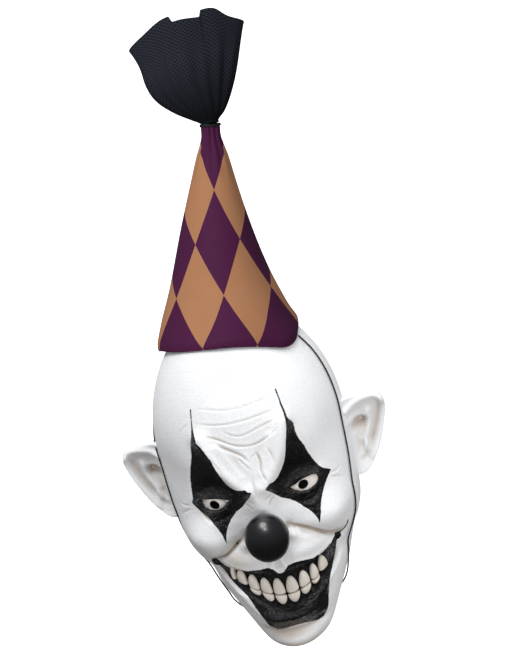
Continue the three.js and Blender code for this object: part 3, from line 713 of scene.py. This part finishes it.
# Latex: each pair of tones is mixed by a noise or a distance
latex = {
    "white": ((0.88, 0.895, 0.91, 1), (0.93, 0.935, 0.94, 1)), "pores": (0.62, 0.62, 0.63, 1),
    # beige and darker brown painted shade; the near-black inside is a guessed black inside and also
    # painted shade seen through the pupils
    "shadeBeige": (0.60, 0.53, 0.46, 1), "cavityShade": (0.42, 0.36, 0.30, 1), "inside": (0.012, 0.011, 0.010, 1),
    # the darker eyeball tone is painted shade at the lids
    "eyeball": ((0.50, 0.44, 0.39, 1), (0.80, 0.75, 0.71, 1)),
    "ink": ((0.002, 0.002, 0.003, 1), (0.007, 0.007, 0.010, 1)),
    "specular": 0.4, "roughness": 0.6, "inkRoughness": (0.12, 0.36), "filmRoughness": 0.16,
    "grain": 0.5, "inkGrain": 0.12, "grainDeep": 0.001, "brushDeep": 0.0028,
}


# white latex with pores, beige painted shade in its hollows and under the chin and cheeks,
# and darker painted shade in its creases; the eyes and the ink lie over it where their
# distances are above 0
def latexFinish():
    made, tree, shader = startFinish("paintedLatex", 0.5)
    shader.inputs["Specular IOR Level"].default_value = latex["specular"]
    marks = addNode(tree, "ShaderNodeAttribute", attribute_name="paint").outputs["Vector"]
    paintedShade = addNode(tree, "ShaderNodeAttribute", attribute_name="paintedShade").outputs["Vector"]
    black, white, pupil = addNode(tree, "ShaderNodeSeparateXYZ", {0: marks}).outputs
    creaseShade, hollow, inside = addNode(tree, "ShaderNodeSeparateXYZ", {0: paintedShade}).outputs
    wobble = ramp(tree, noise(tree, 500, 4), 0.3, 0.7, 0.5)
    inked = ramp(tree, calc(tree, "ADD", black, calc(tree, "SUBTRACT", wobble, 0.25)), -0.15, 0.2)
    inked = calc(tree, "MULTIPLY", inked, calc(tree, "SUBTRACT", 1.0, ramp(tree, white, -0.1, 0.35)))
    inked = calc(tree, "MAXIMUM", inked, ramp(tree, pupil, -0.5, -0.2))
    patchy = noise(tree, 45, 4)
    clean = mixColour(tree, patchy, *latex["white"])
    pores = ramp(tree, noise(tree, 620, 2), 0.5, 0.72, 0.3)
    clean = mixColour(tree, pores, clean, latex["pores"])
    # painted shade: beige in the hollows and under the chin, cheeks and jaw, darker brown in the creases
    shade = mixColour(tree, ramp(tree, hollow, 0.1, 1.0, 0.92), clean, latex["shadeBeige"])
    creaseShaded = mixColour(tree, ramp(tree, creaseShade, 0.15, 1.0, 0.6), shade, latex["cavityShade"])
    # the eye whites darken toward the lids: painted shade
    eyeball = mixColour(tree, ramp(tree, white, 0.2, 2.4), *latex["eyeball"])
    base = mixColour(tree, ramp(tree, white, 0.0, 0.4), creaseShaded, eyeball)
    speck = noise(tree, 800, 3)
    ink = mixColour(tree, ramp(tree, speck, 0.5, 0.8), *latex["ink"])
    colour = mixColour(tree, inked, base, ink)
    # the inside is near black: a guessed black inside, and painted shade seen through the pupils
    colour = mixColour(tree, inside, colour, latex["inside"])
    tree.links.new(colour, shader.inputs["Base Color"])
    inkGloss = mixValue(tree, ramp(tree, patchy, 0.4, 0.62), *latex["inkRoughness"])
    gloss = mixValue(tree, inked, latex["roughness"], inkGloss)
    tree.links.new(gloss, shader.inputs["Roughness"])
    grain = calc(tree, "ADD", noise(tree, 1100, 2), noise(tree, 380, 3))
    deep = mixValue(tree, inked, latex["grain"], latex["inkGrain"])
    inputs = {"Height": grain, "Strength": deep, "Distance": latex["grainDeep"]}
    stipple = addNode(tree, "ShaderNodeBump", inputs)
    # brushed ridges in the ink, a few millimetres wide
    brushed = calc(tree, "MULTIPLY", inked, calc(tree, "SUBTRACT", noise(tree, 300, 3), 0.5))
    ridged = bump(tree, brushed, 1.0, latex["brushDeep"], stipple.outputs["Normal"])
    tree.links.new(ridged, shader.inputs["Normal"])
    # the ink dries to a glossy film
    shader.inputs["Coat Roughness"].default_value = latex["filmRoughness"]
    tree.links.new(inked, shader.inputs["Coat Weight"])
    tree.links.new(ridged, shader.inputs["Coat Normal"])
    return made


# union or cut with another piece, which is then gone
def combine(piece, other, operation):
    step = piece.modifiers.new(operation, "BOOLEAN")
    step.operation = operation
    step.solver = "MANIFOLD"
    step.object = other
    bpy.context.view_layer.objects.active = piece
    bpy.ops.object.modifier_apply(modifier=step.name)
    bpy.data.objects.remove(other)


# outer skin from the crown to the rim, then the hollow back up; the ears are joined on, the pupils cut
def makeShell():
    finish = latexFinish()
    turns = np.radians(runs(head["columns"], 180))
    dome = runs(head["domeRings"], 90) / 90 * head["domeShare"]
    drops = np.concatenate([dome, np.linspace(head["domeShare"], 1, head["faceRings"])])
    turn, drop = np.meshgrid(turns, drops)
    outer, high = facePoint(turn, drop)
    inTurn, inDrop = np.meshgrid(turns, np.linspace(1, head["hollowTop"], head["hollowRings"]))
    inner = facePoint(inTurn, inDrop, head["wall"])[0]
    inner[0, :, 2] = outer[-1, :, 2]
    grid = np.concatenate([outer, inner])
    crown = np.array([0, 0, head["crownUp"]], float)
    points, quads, fans = gridSkin(grid, crown, crown - [0, 0, head["wall"]])
    points[:, 2] += zeroUp
    # marks far below 0 wherever there is no paint
    bare = np.full(3, paint["none"])
    marks = paintValues(grid[..., 0], grid[..., 2])
    marks[len(drops):] = bare
    marks[:len(drops)][np.cos(turn) < paint["sideEnd"]] = bare
    # painted shade in the creases, the hollows and under the chin and cheeks, fading at the sides; the
    # near-black inside is partly painted shade seen through the pupils
    paintedShade = np.zeros(grid.shape)
    facing = smooth(cavityShade["sideFrom"], cavityShade["sideTo"], np.cos(turn))
    fine = np.clip((blurred(high, cavityShade["creaseMeans"]) - high) / cavityShade["creaseDeep"], 0, 1)
    hollowShade = np.clip((blurred(high, cavityShade["hollowMeans"]) - high) / cavityShade["hollowDeep"], 0, 1)
    paintedShade[:len(drops), :, 0] = fine * facing
    paintedShade[:len(drops), :, 1] = np.maximum(hollowShade, paintedShadeAt(outer[..., 0], outer[..., 2])) * facing
    paintedShade[len(drops):, :, 2] = 1
    values = {
        "paint": np.concatenate([marks.reshape(-1, 3), [bare, bare]]),
        "paintedShade": np.concatenate([paintedShade.reshape(-1, 3), [(0, 0, 0), (0, 0, 1)]]),
    }
    shell = makePiece("painted_shell", joinSkins((points, quads, fans)), finish, values)
    for side in (-1, 1):
        skin, shade = earSkin(side)
        plain = {"paint": np.full(skin[0].shape, paint["none"]), "paintedShade": shade}
        combine(shell, makePiece("ear", skin, finish, plain), "UNION")
    for side in (-1, 1):
        skin = joinSkins(pupilSkin(side))
        flat = {"paint": np.full(skin[0].shape, paint["holeWall"]), "paintedShade": np.zeros(skin[0].shape)}
        combine(shell, makePiece("pupil", skin, finish, flat), "DIFFERENCE")
    shell.data.shade_smooth()
    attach(shell, "root")
    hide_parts("mask_shell")
    print("shell:", len(shell.data.polygons), "faces")


# Nose ball: an oval ball, its rings run from the tip to the flat that sits on the face
nose = {
    "across": 20.5, "tall": 22.5, "front": 113, "back": 95, "sides": 96, "rings": 48,
    "tones": ((0.002, 0.002, 0.003, 1), (0.006, 0.006, 0.008, 1)), "roughness": (0.26, 0.36),
    "specular": 0.9, "film": 0.3, "filmRoughness": 0.1,
}


# two blacks in soft clouds, under a thin film
def noseFinish():
    made, tree, shader = startFinish("noseBlack", 0.3)
    shader.inputs["Specular IOR Level"].default_value = nose["specular"]
    shader.inputs["Coat Weight"].default_value = nose["film"]
    shader.inputs["Coat Roughness"].default_value = nose["filmRoughness"]
    cloud = noise(tree, 60, 4)
    tree.links.new(mixColour(tree, cloud, *nose["tones"]), shader.inputs["Base Color"])
    tree.links.new(mixValue(tree, cloud, *nose["roughness"]), shader.inputs["Roughness"])
    fine = noise(tree, 900, 2)
    tree.links.new(bump(tree, fine, 0.12, 0.0008), shader.inputs["Normal"])
    return made


# rings of an oval ball by the angle from its tip, closed by a flat at the back
def makeNose():
    flat = np.pi - np.arccos((nose["front"] - nose["back"]) / nose["across"])
    tips = np.linspace(0, flat, nose["rings"] + 1)[1:]
    turns = np.linspace(0, 2 * np.pi, nose["sides"], endpoint=False)
    tip, turn = np.meshgrid(tips, turns, indexing="ij")
    across = nose["across"] * np.sin(tip) * np.cos(turn)
    front = nose["front"] + nose["across"] * np.cos(tip)
    grid = place(across, front, nose["tall"] * np.sin(tip) * np.sin(turn))
    first = place(0.0, nose["front"] + nose["across"], 0.0)
    skin = joinSkins(gridSkin(grid, first, place(0.0, nose["back"], 0.0)))
    ball = makePiece("nose_black", skin, noseFinish())
    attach(ball, "root")
    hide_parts("nose_ball")
    print("nose ball")


# Teeth: the lines between neighbouring teeth, left to right, and how each stands over the gum
teeth = {
    "upper": [-47.5, -42.8, -33.1, -22.5, -11, 1.3, 14.7, 26.6, 35.8, 45.5],
    "lower": [-33.1, -22.5, -11, 1.3, 14.7, 26.6, 35.8],
    "gap": 0.6, "biteGap": 0.3, "back": -4.2, "rise": 4.2, "rings": 22, "sides": 26, "seat": 1.4,
    "biteRound": 0.1, "eggFrom": 0.12, "eggShare": 0.88, "square": 0.85, "crown": 0.75,
    "least": 0.86, "belly": 0.14, "tones": ((0.66, 0.59, 0.51, 1), (0.82, 0.77, 0.70, 1)), "film": 0.2,
}


# two ivories in soft stains, under a thin film
def toothFinish():
    made, tree, shader = startFinish("toothEnamel", 0.34)
    stain = noise(tree, 160, 4)
    tree.links.new(mixColour(tree, stain, *teeth["tones"]), shader.inputs["Base Color"])
    tree.links.new(bump(tree, noise(tree, 500, 2), 0.15, 0.0008), shader.inputs["Normal"])
    shader.inputs["Coat Weight"].default_value = teeth["film"]
    return made


# tooth: rings from the bite to the root, each a flat-backed oval;
# from the front it is half an egg, square at the bite
def toothSkin(left, right, upper):
    steps = np.linspace(0, 1, teeth["rings"] + 2)[1:-1]
    turns = np.linspace(0, 2 * np.pi, teeth["sides"], endpoint=False)
    step, turn = np.meshgrid(steps, turns, indexing="ij")
    s = (1 - np.cos(step * np.pi)) / 2
    start = np.sqrt(1 - np.clip(1 - s / teeth["biteRound"], 0, 1) ** 2)
    end = np.sqrt(1 - np.clip((s - teeth["eggFrom"]) / teeth["eggShare"], 0, 1) ** 2)
    wide = start * end
    middle, half = (left + right) / 2, (right - left) / 2 - teeth["gap"]
    across = middle + half * wide * power(np.cos(turn), teeth["square"])
    bite = mouthLine("bite", across) + (teeth["biteGap"] if upper else -teeth["biteGap"])
    gum = mouthLine("gumTop" if upper else "gumLow", across)
    up = bite + (gum - bite) * s
    body = wide**0.5 * (teeth["least"] + teeth["belly"] * np.sin(np.pi * s))
    ahead = np.abs(np.sin(turn))
    lift = np.where(np.sin(turn) > 0, teeth["rise"] * ahead ** teeth["crown"], -teeth["seat"] * ahead)
    grid = overFace(across, up, teeth["back"] + lift * body)
    return gridSkin(grid, grid[0].mean(0), grid[-1].mean(0))


# a tooth between each two neighbouring lines, one piece a row
def makeTeeth():
    finish = toothFinish()
    for name, node in (("upper", "teeth_upper"), ("lower", "teeth_lower")):
        edges = teeth[name]
        skins = [toothSkin(a, b, name == "upper") for a, b in zip(edges, edges[1:])]
        row = makePiece(name + "_tooth_row", joinSkins(*skins), finish)
        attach(row, "root")
        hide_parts(node)
    print("teeth")


# Hat: an oval cone on the dome, leaning right and back, its front turned to the right
hat = {
    "across": -0.3, "front": -16.5, "up": 147, "leanRight": 7.2, "leanBack": 12.2, "twist": 19,
    "slant": 7.5, "bow": 3.2, "half": 65.6, "depth": 82, "tall": 198.9, "neck": 8.3, "cloth": 1.6,
    "gathers": 11, "gatherDeep": 0.7, "gatherFrom": 0.7, "gatherTo": 0.93, "hemShare": 0.16,
    "columns": 180, "hemRings": 12, "hemTop": 0.06, "rings": 110, "liningEvery": 3,
    "plum": ((0.064, 0.008, 0.044, 1), (0.082, 0.011, 0.058, 1)),
    "tan": ((0.38, 0.172, 0.082, 1), (0.45, 0.212, 0.103, 1)), "roughness": 0.62, "specular": 0.12,
}
hatRows = {
    "share": [0, 0.015, 0.05, 0.3, 0.6, 0.85, 0.945, 1],
    "reach": [0.985, 1, 0.985, 0.657, 0.355, 0.119, 0.01, 0],
}
hemRows = {  # rise over the plain cone's base and bulge, by the turn in degrees
    "turn": [-180, -150, -120, -90, -60, -30, -10, 10, 30, 45, 60, 90, 120, 150, 180],
    "rise": [-2.5, -8, -6, -1, 1.2, 3, 2.5, -0.5, -4.5, -1.5, 4, 10.5, 13, 6.5, -2.5],
    "out": [0, 0, 0, 0, 1.2, 1, 0, 1, 5.5, 3.5, 0, 0, 0, 0, 0],
}


# lean about the X axis, then the Y axis of the leaned frame, then a move
def seated(points, leanX, leanY, origin):
    cx, sx = np.cos(np.radians(leanX)), np.sin(np.radians(leanX))
    cy, sy = np.cos(np.radians(leanY)), np.sin(np.radians(leanY))
    aboutX = np.array([[1, 0, 0], [0, cx, -sx], [0, sx, cx]])
    aboutY = np.array([[cy, 0, sy], [0, 1, 0], [-sy, 0, cy]])
    return points @ (aboutX @ aboutY).T + origin


# from the hat's own frame to the part's
def onHat(points):
    origin = place(hat["across"], hat["front"], hat["up"])
    return seated(points, -hat["leanBack"], hat["leanRight"], origin)


# hat ring: an oval that shrinks from the hem to the neck, turned on its axis;
# its middle slants and bows, and the hem rises and bulges by the turn
def hatPoint(turn, share, thinner=0):
    reach = readRows(hatRows["share"], hatRows["reach"], share)
    degrees = np.degrees((turn + np.pi) % (2 * np.pi) - np.pi)
    fade = 1 - smooth(0, hat["hemShare"], share)
    gathered = smooth(hat["gatherFrom"], hat["gatherTo"], share)
    gather = hat["gatherDeep"] * np.cos(hat["gathers"] * turn) * gathered
    out = hat["neck"] + fade * readRows(hemRows["turn"], hemRows["out"], degrees) + gather - thinner
    side = (out + (hat["half"] - hat["neck"]) * reach) * np.sin(turn)
    ahead = (out + (hat["depth"] - hat["neck"]) * reach) * np.cos(turn)
    middle = hat["slant"] * share - hat["bow"] * (4 * share * (1 - share)) ** 2
    cosine, sine = np.cos(np.radians(hat["twist"])), np.sin(np.radians(hat["twist"]))
    rise = hat["tall"] * share + fade * readRows(hemRows["turn"], hemRows["rise"], degrees)
    return np.stack([middle + side * cosine + ahead * sine, side * sine - ahead * cosine, rise], -1)


# two cloths in squares of the lattice, each washed between two tones
def hatFinish():
    made, tree, shader = startFinish("harlequinCloth", hat["roughness"])
    where = addNode(tree, "ShaderNodeUVMap", uv_map="clothMap").outputs["UV"]
    squares = addNode(tree, "ShaderNodeTexChecker", {"Vector": where, "Scale": 1.0}).outputs["Fac"]
    wash = noise(tree, 30, 4)
    plum = mixColour(tree, wash, *hat["plum"])
    tan = mixColour(tree, wash, *hat["tan"])
    tree.links.new(mixColour(tree, squares, plum, tan), shader.inputs["Base Color"])
    shader.inputs["Specular IOR Level"].default_value = hat["specular"]
    tree.links.new(bump(tree, noise(tree, 1400, 2), 0.2, 0.0006), shader.inputs["Normal"])
    return made


# Lattice of the print: each line family's step counts are a sum over the flat place's x, y and 1
lattice = {
    "apex": 0.3, "spread": 0.06, "turn": -18, "skew": -0.15,
    "first": (13.686, 2.126, -1.284), "second": (-13.444, 2.141, -1.222),
}


# the cone laid out flat, then steps along the two families of slanted lines
def latticeMap(turn, share):
    around = turn - np.radians(lattice["turn"])
    angle = lattice["spread"] * (around - lattice["skew"] * np.sin(2 * around))
    reach = 1 - share + lattice["apex"]
    flat = np.stack([reach * np.sin(angle), reach * np.cos(angle), np.ones(turn.shape)], -1)
    return np.stack([flat @ np.array(lattice["first"]), flat @ np.array(lattice["second"])], -1)


# outer cloth from the neck to the hem, then the lining back up to a lid under the neck
def makeHat():
    turns = np.linspace(0, 2 * np.pi, hat["columns"], endpoint=False)
    hem = np.linspace(0, hat["hemTop"], hat["hemRings"], endpoint=False)
    shares = np.concatenate([hem, np.linspace(hat["hemTop"], 1, hat["rings"])])
    inside = shares[:-1:hat["liningEvery"]]
    turn, share = np.meshgrid(turns, shares[::-1])
    outside = hatPoint(turn, share)
    inTurn, inShare = np.meshgrid(turns, inside)
    lining = hatPoint(inTurn, inShare, hat["cloth"])
    grid = onHat(np.concatenate([outside, lining]))
    top = onHat(np.array([hat["slant"], 0, hat["tall"]]))
    skin = gridSkin(grid, top, grid[-1].mean(0))
    turned = skinVolume(*skin) < 0
    # map: lattice steps of the diamonds, from the way round and the height
    wrapped = np.append(turns, 2 * np.pi)
    signed = (wrapped + np.pi) % (2 * np.pi) - np.pi
    mapTurn, mapShare = np.meshgrid(signed, np.concatenate([shares[::-1], inside]))
    cornerMap = quadMap(latticeMap(mapTurn, mapShare), len(skin[2]), turned)
    cone = makePiece("harlequin_cone", joinSkins(skin), hatFinish(), cornerMap=cornerMap)
    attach(cone, "root")
    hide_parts("hat_cone")
    print("hat")


# Tie: a thread wound round the neck
tie = {
    "radius": 9.4, "thread": 0.5, "turns": 3, "tall": 2.2, "above": 0.9, "steps": 220, "sides": 8,
    "tone": (0.012, 0.012, 0.014, 1), "roughness": 0.7,
}


# a round tube along a coil of even rise
def makeTie():
    made, tree, shader = startFinish("tieThread", tie["roughness"])
    shader.inputs["Base Color"].default_value = tie["tone"]
    tree.links.new(bump(tree, noise(tree, 3000, 2), 0.4, 0.0003), shader.inputs["Normal"])
    turn = np.linspace(0, 2 * np.pi * tie["turns"], tie["steps"])
    rise = np.linspace(-0.5, 0.5, tie["steps"]) * tie["tall"] + hat["tall"] + tie["above"]
    across = hat["slant"] + tie["radius"] * np.sin(turn)
    line = np.stack([across, -tie["radius"] * np.cos(turn), rise], -1)
    band = makePiece("tie_thread", joinSkins(tubeAlong(onHat(line), tie["thread"], tie["sides"])), made)
    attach(band, "root")
    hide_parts("hat_tie")
    print("tie")


# Tuft: a gathered bell of net, flatter than it is wide, open at the top, its sides ending lower
tuft = {
    "leanLeft": 8, "leanBack": 6, "gap": 1.9, "columns": 300, "rings": 110, "folds": 5,
    "flatness": 0.62, "fall": 19, "thick": 0.9, "pleats": 17, "pleatDeep": 0.03, "flat": (0.27, 0.101),
    "ridgeTurn": 36, "ridgeWide": 12, "ridgeOut": 5, "ridgeRise": 4,
    "dipFrom": -8, "dipTo": 24, "dipEdge": 3, "dipDeep": 6, "leftIn": 4,
    # shares of the height over which each form comes in
    "pleatIn": (0, 0.1), "pleatOut": (0.4, 0.9), "ridgeIn": (0.1, 0.6), "dipIn": (0.5, 1),
    "leftFrom": (0.4, 1),
    "mapWide": 50, "weave": (0.9, -0.9), "weaveScale": 0.11, "weaveWander": 0.8, "shadeUpTo": 60.0,
    "strands": ((0.006, 0.007, 0.010, 1), (0.026, 0.030, 0.044, 1)), "gaps": (0.001, 0.0012, 0.002, 1),
    "roughness": 0.8, "specular": 0.15,
}
tuftRows = {
    "rise": [0, 2.5, 8, 18, 33, 50, 75, 101],
    "radius": [8.2, 8.4, 15, 24.6, 34.6, 41, 47.5, 55],
    "fold": [0, 0.005, 0.02, 0.04, 0.045, 0.05, 0.05, 0.05],
    "sway": [0, 0, -0.3, -3, -5.4, -5.1, -3, -2.5],
}


# two families of slanted strands over near-black gaps, the strands darker towards the tie as painted
# shade
def netFinish():
    made, tree, shader = startFinish("tuftNet", tuft["roughness"])
    shader.inputs["Specular IOR Level"].default_value = tuft["specular"]
    where = addNode(tree, "ShaderNodeUVMap", uv_map="clothMap").outputs["UV"]
    waves = []
    for turn in tuft["weave"]:
        inputs = {"Vector": where, "Rotation": (0, 0, turn)}
        turned = addNode(tree, "ShaderNodeMapping", inputs).outputs[0]
        inputs = {"Vector": turned, "Scale": tuft["weaveScale"], "Distortion": tuft["weaveWander"]}
        waves.append(addNode(tree, "ShaderNodeTexWave", inputs).outputs["Fac"])
    weave = calc(tree, "MAXIMUM", *waves)
    height = addNode(tree, "ShaderNodeSeparateXYZ", {0: where}).outputs[1]
    # painted shade: the strands darken towards the tie
    strands = mixColour(tree, ramp(tree, height, 0.0, tuft["shadeUpTo"]), *tuft["strands"])
    tone = mixColour(tree, weave, tuft["gaps"], strands)
    tree.links.new(tone, shader.inputs["Base Color"])
    tree.links.new(bump(tree, weave, 0.5, 0.0006), shader.inputs["Normal"])
    return made


# tuft ring: an oval with soft folds and fine pleats,
# one sharp ridge and a dip beside it at the right of the front
def makeTuft():
    turns = np.linspace(-np.pi, np.pi, tuft["columns"], endpoint=False)
    rises = np.linspace(0, tuftRows["rise"][-1], tuft["rings"])
    turn, rise = np.meshgrid(turns, rises)
    columns = ("radius", "fold", "sway")
    radius, fold, sway = (readRows(tuftRows["rise"], tuftRows[key], rise) for key in columns)
    share = rise / tuftRows["rise"][-1]
    degrees = np.degrees(turn)
    pleated = smooth(*tuft["pleatIn"], share) * (1 - smooth(*tuft["pleatOut"], share))
    pleat = tuft["pleatDeep"] * np.cos(tuft["pleats"] * turn) * pleated
    ridge = bell((degrees - tuft["ridgeTurn"]) / tuft["ridgeWide"]) * smooth(*tuft["ridgeIn"], share)
    leftEdge = smooth(0, tuft["dipEdge"], degrees - tuft["dipFrom"])
    rightEdge = smooth(0, tuft["dipEdge"], tuft["dipTo"] - degrees)
    dip = leftEdge * rightEdge * smooth(*tuft["dipIn"], share)
    wide = radius * (1 + fold * np.cos(tuft["folds"] * turn) + pleat) + tuft["ridgeOut"] * ridge
    foot = tuftRows["radius"][0]
    deep = foot + (wide - foot) * tuft["flatness"]
    top = rise - tuft["fall"] * (np.sin(turn) * share) ** 2
    top += tuft["ridgeRise"] * ridge - tuft["dipDeep"] * dip
    left = tuft["leftIn"] * np.maximum(-np.sin(turn), 0) * smooth(*tuft["leftFrom"], share)
    grid = np.stack([sway + left + wide * np.sin(turn), -deep * np.cos(turn), top], -1)
    seat = np.array([hat["slant"], 0, hat["tall"] + tuft["gap"]])
    grid = onHat(seated(grid, -tuft["leanBack"], -tuft["leanLeft"], seat))
    mapTurn, mapRise = np.meshgrid(np.append(turns, np.pi) * tuft["mapWide"], rises)
    area = np.stack([mapTurn, mapRise], -1)
    skin = gridSkin(grid)
    bellPiece = makePiece("net_tuft", skin, netFinish(), cornerMap=quadMap(area, 0))
    wall = bellPiece.modifiers.new("wall", "SOLIDIFY")
    wall.thickness = tuft["thick"] * mm
    wall.offset = 0
    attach(bellPiece, "root")
    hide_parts("hat_tuft")
    print("tuft")


# Floor and light: the floor shows white and sends no light up; the sky is bright above and dim below
stage = {
    "floor": -0.6, "reach": 9.0, "glow": 1.0, "shine": 0.25,
    "sky": (0.84, 0.855, 0.88), "level": (0.47, 0.475, 0.49), "ground": (0.17, 0.15, 0.13),
    "skyFrom": 0.8, "groundFrom": 0.5,
    # place, aim, size, watts, spread in degrees, whether it shows as a highlight, the pieces it lights
    "lamps": [
        ("faceKey", (0.25, -1.5, 2.0), (0, 0, -0.15), 0.4, 9, 180, True, "face"),
        ("hatKey", (-0.9, -1.7, 1.2), (0, 0, 0.1), 0.5, 25, 180, True, "hat"),
        ("fill", (1.0, -1.3, -0.4), (0.02, -0.03, -0.2), 0.7, 1.05, 60, False, "face"),
        ("top", (-0.1, -0.5, 2.0), (0, 0, -0.1), 1.2, 22, 180, True, "face"),
    ],
    "groups": {
        "face": ["painted_shell", "nose_black", "upper_tooth_row", "lower_tooth_row", "elastic_cord"],
        "hat": ["harlequin_cone", "tie_thread", "net_tuft"],
    },
}


# a plain floor, a sky that fades with the height of the ray, and lamps that each light one group
def makeStage():
    r, z = stage["reach"], stage["floor"]
    mesh = bpy.data.meshes.new("floor")
    mesh.from_pydata([(-r, -r, z), (r, -r, z), (r, r, z), (-r, r, z)], [], [(0, 1, 2, 3)])
    made, tree, shader = startFinish("paleFloor", 0.9)
    shader.inputs["Emission Color"].default_value = (1, 1, 1, 1)
    shader.inputs["Emission Strength"].default_value = stage["glow"]
    mesh.materials.append(made)
    floor = bpy.data.objects.new("floor", mesh)
    floor.visible_diffuse = False
    floor.visible_glossy = False
    floor.visible_shadow = False
    bpy.context.scene.collection.objects.link(floor)
    world = bpy.data.worlds.new("studio")
    world.use_nodes = True
    tree = world.node_tree
    way = addNode(tree, "ShaderNodeTexCoord").outputs["Generated"]
    rise = addNode(tree, "ShaderNodeSeparateXYZ", {0: way}).outputs[2]
    above = ramp(tree, rise, 0.0, stage["skyFrom"])
    sky = mixColour(tree, above, (*stage["level"], 1), (*stage["sky"], 1))
    fall = calc(tree, "MULTIPLY", rise, -1.0)
    sky = mixColour(tree, ramp(tree, fall, 0.0, stage["groundFrom"]), sky, (*stage["ground"], 1))
    path = addNode(tree, "ShaderNodeLightPath")
    dimmed = mixColour(tree, stage["shine"], (0, 0, 0, 1), sky)
    sky = mixColour(tree, path.outputs["Is Glossy Ray"], sky, dimmed)
    sky = mixColour(tree, path.outputs["Is Camera Ray"], sky, (1, 1, 1, 1))
    tree.links.new(sky, tree.nodes["Background"].inputs["Color"])
    bpy.context.scene.world = world
    groups = {}
    for group, names in stage["groups"].items():
        groups[group] = bpy.data.collections.new(group + "Lit")
        for name in names:
            groups[group].objects.link(bpy.data.objects[name])
    for name, spot, aim, size, watts, spread, shows, group in stage["lamps"]:
        lamp = bpy.data.lights.new(name, "AREA")
        lamp.energy = watts
        lamp.shape = "DISK"
        lamp.size = size
        lamp.spread = np.radians(spread)
        made = bpy.data.objects.new(name, lamp)
        made.location = spot
        made.visible_glossy = shows
        made.light_linking.receiver_collection = groups[group]
        made.rotation_mode = "QUATERNION"
        made.rotation_quaternion = (Vector(aim) - Vector(spot)).to_track_quat("-Z", "Y")
        bpy.context.scene.collection.objects.link(made)
    bpy.context.scene.view_settings.view_transform = "Standard"
    print("stage")


makeCamera()
makeElastic()
makeShell()
makeNose()
makeTeeth()
makeHat()
makeTie()
makeTuft()
makeStage()
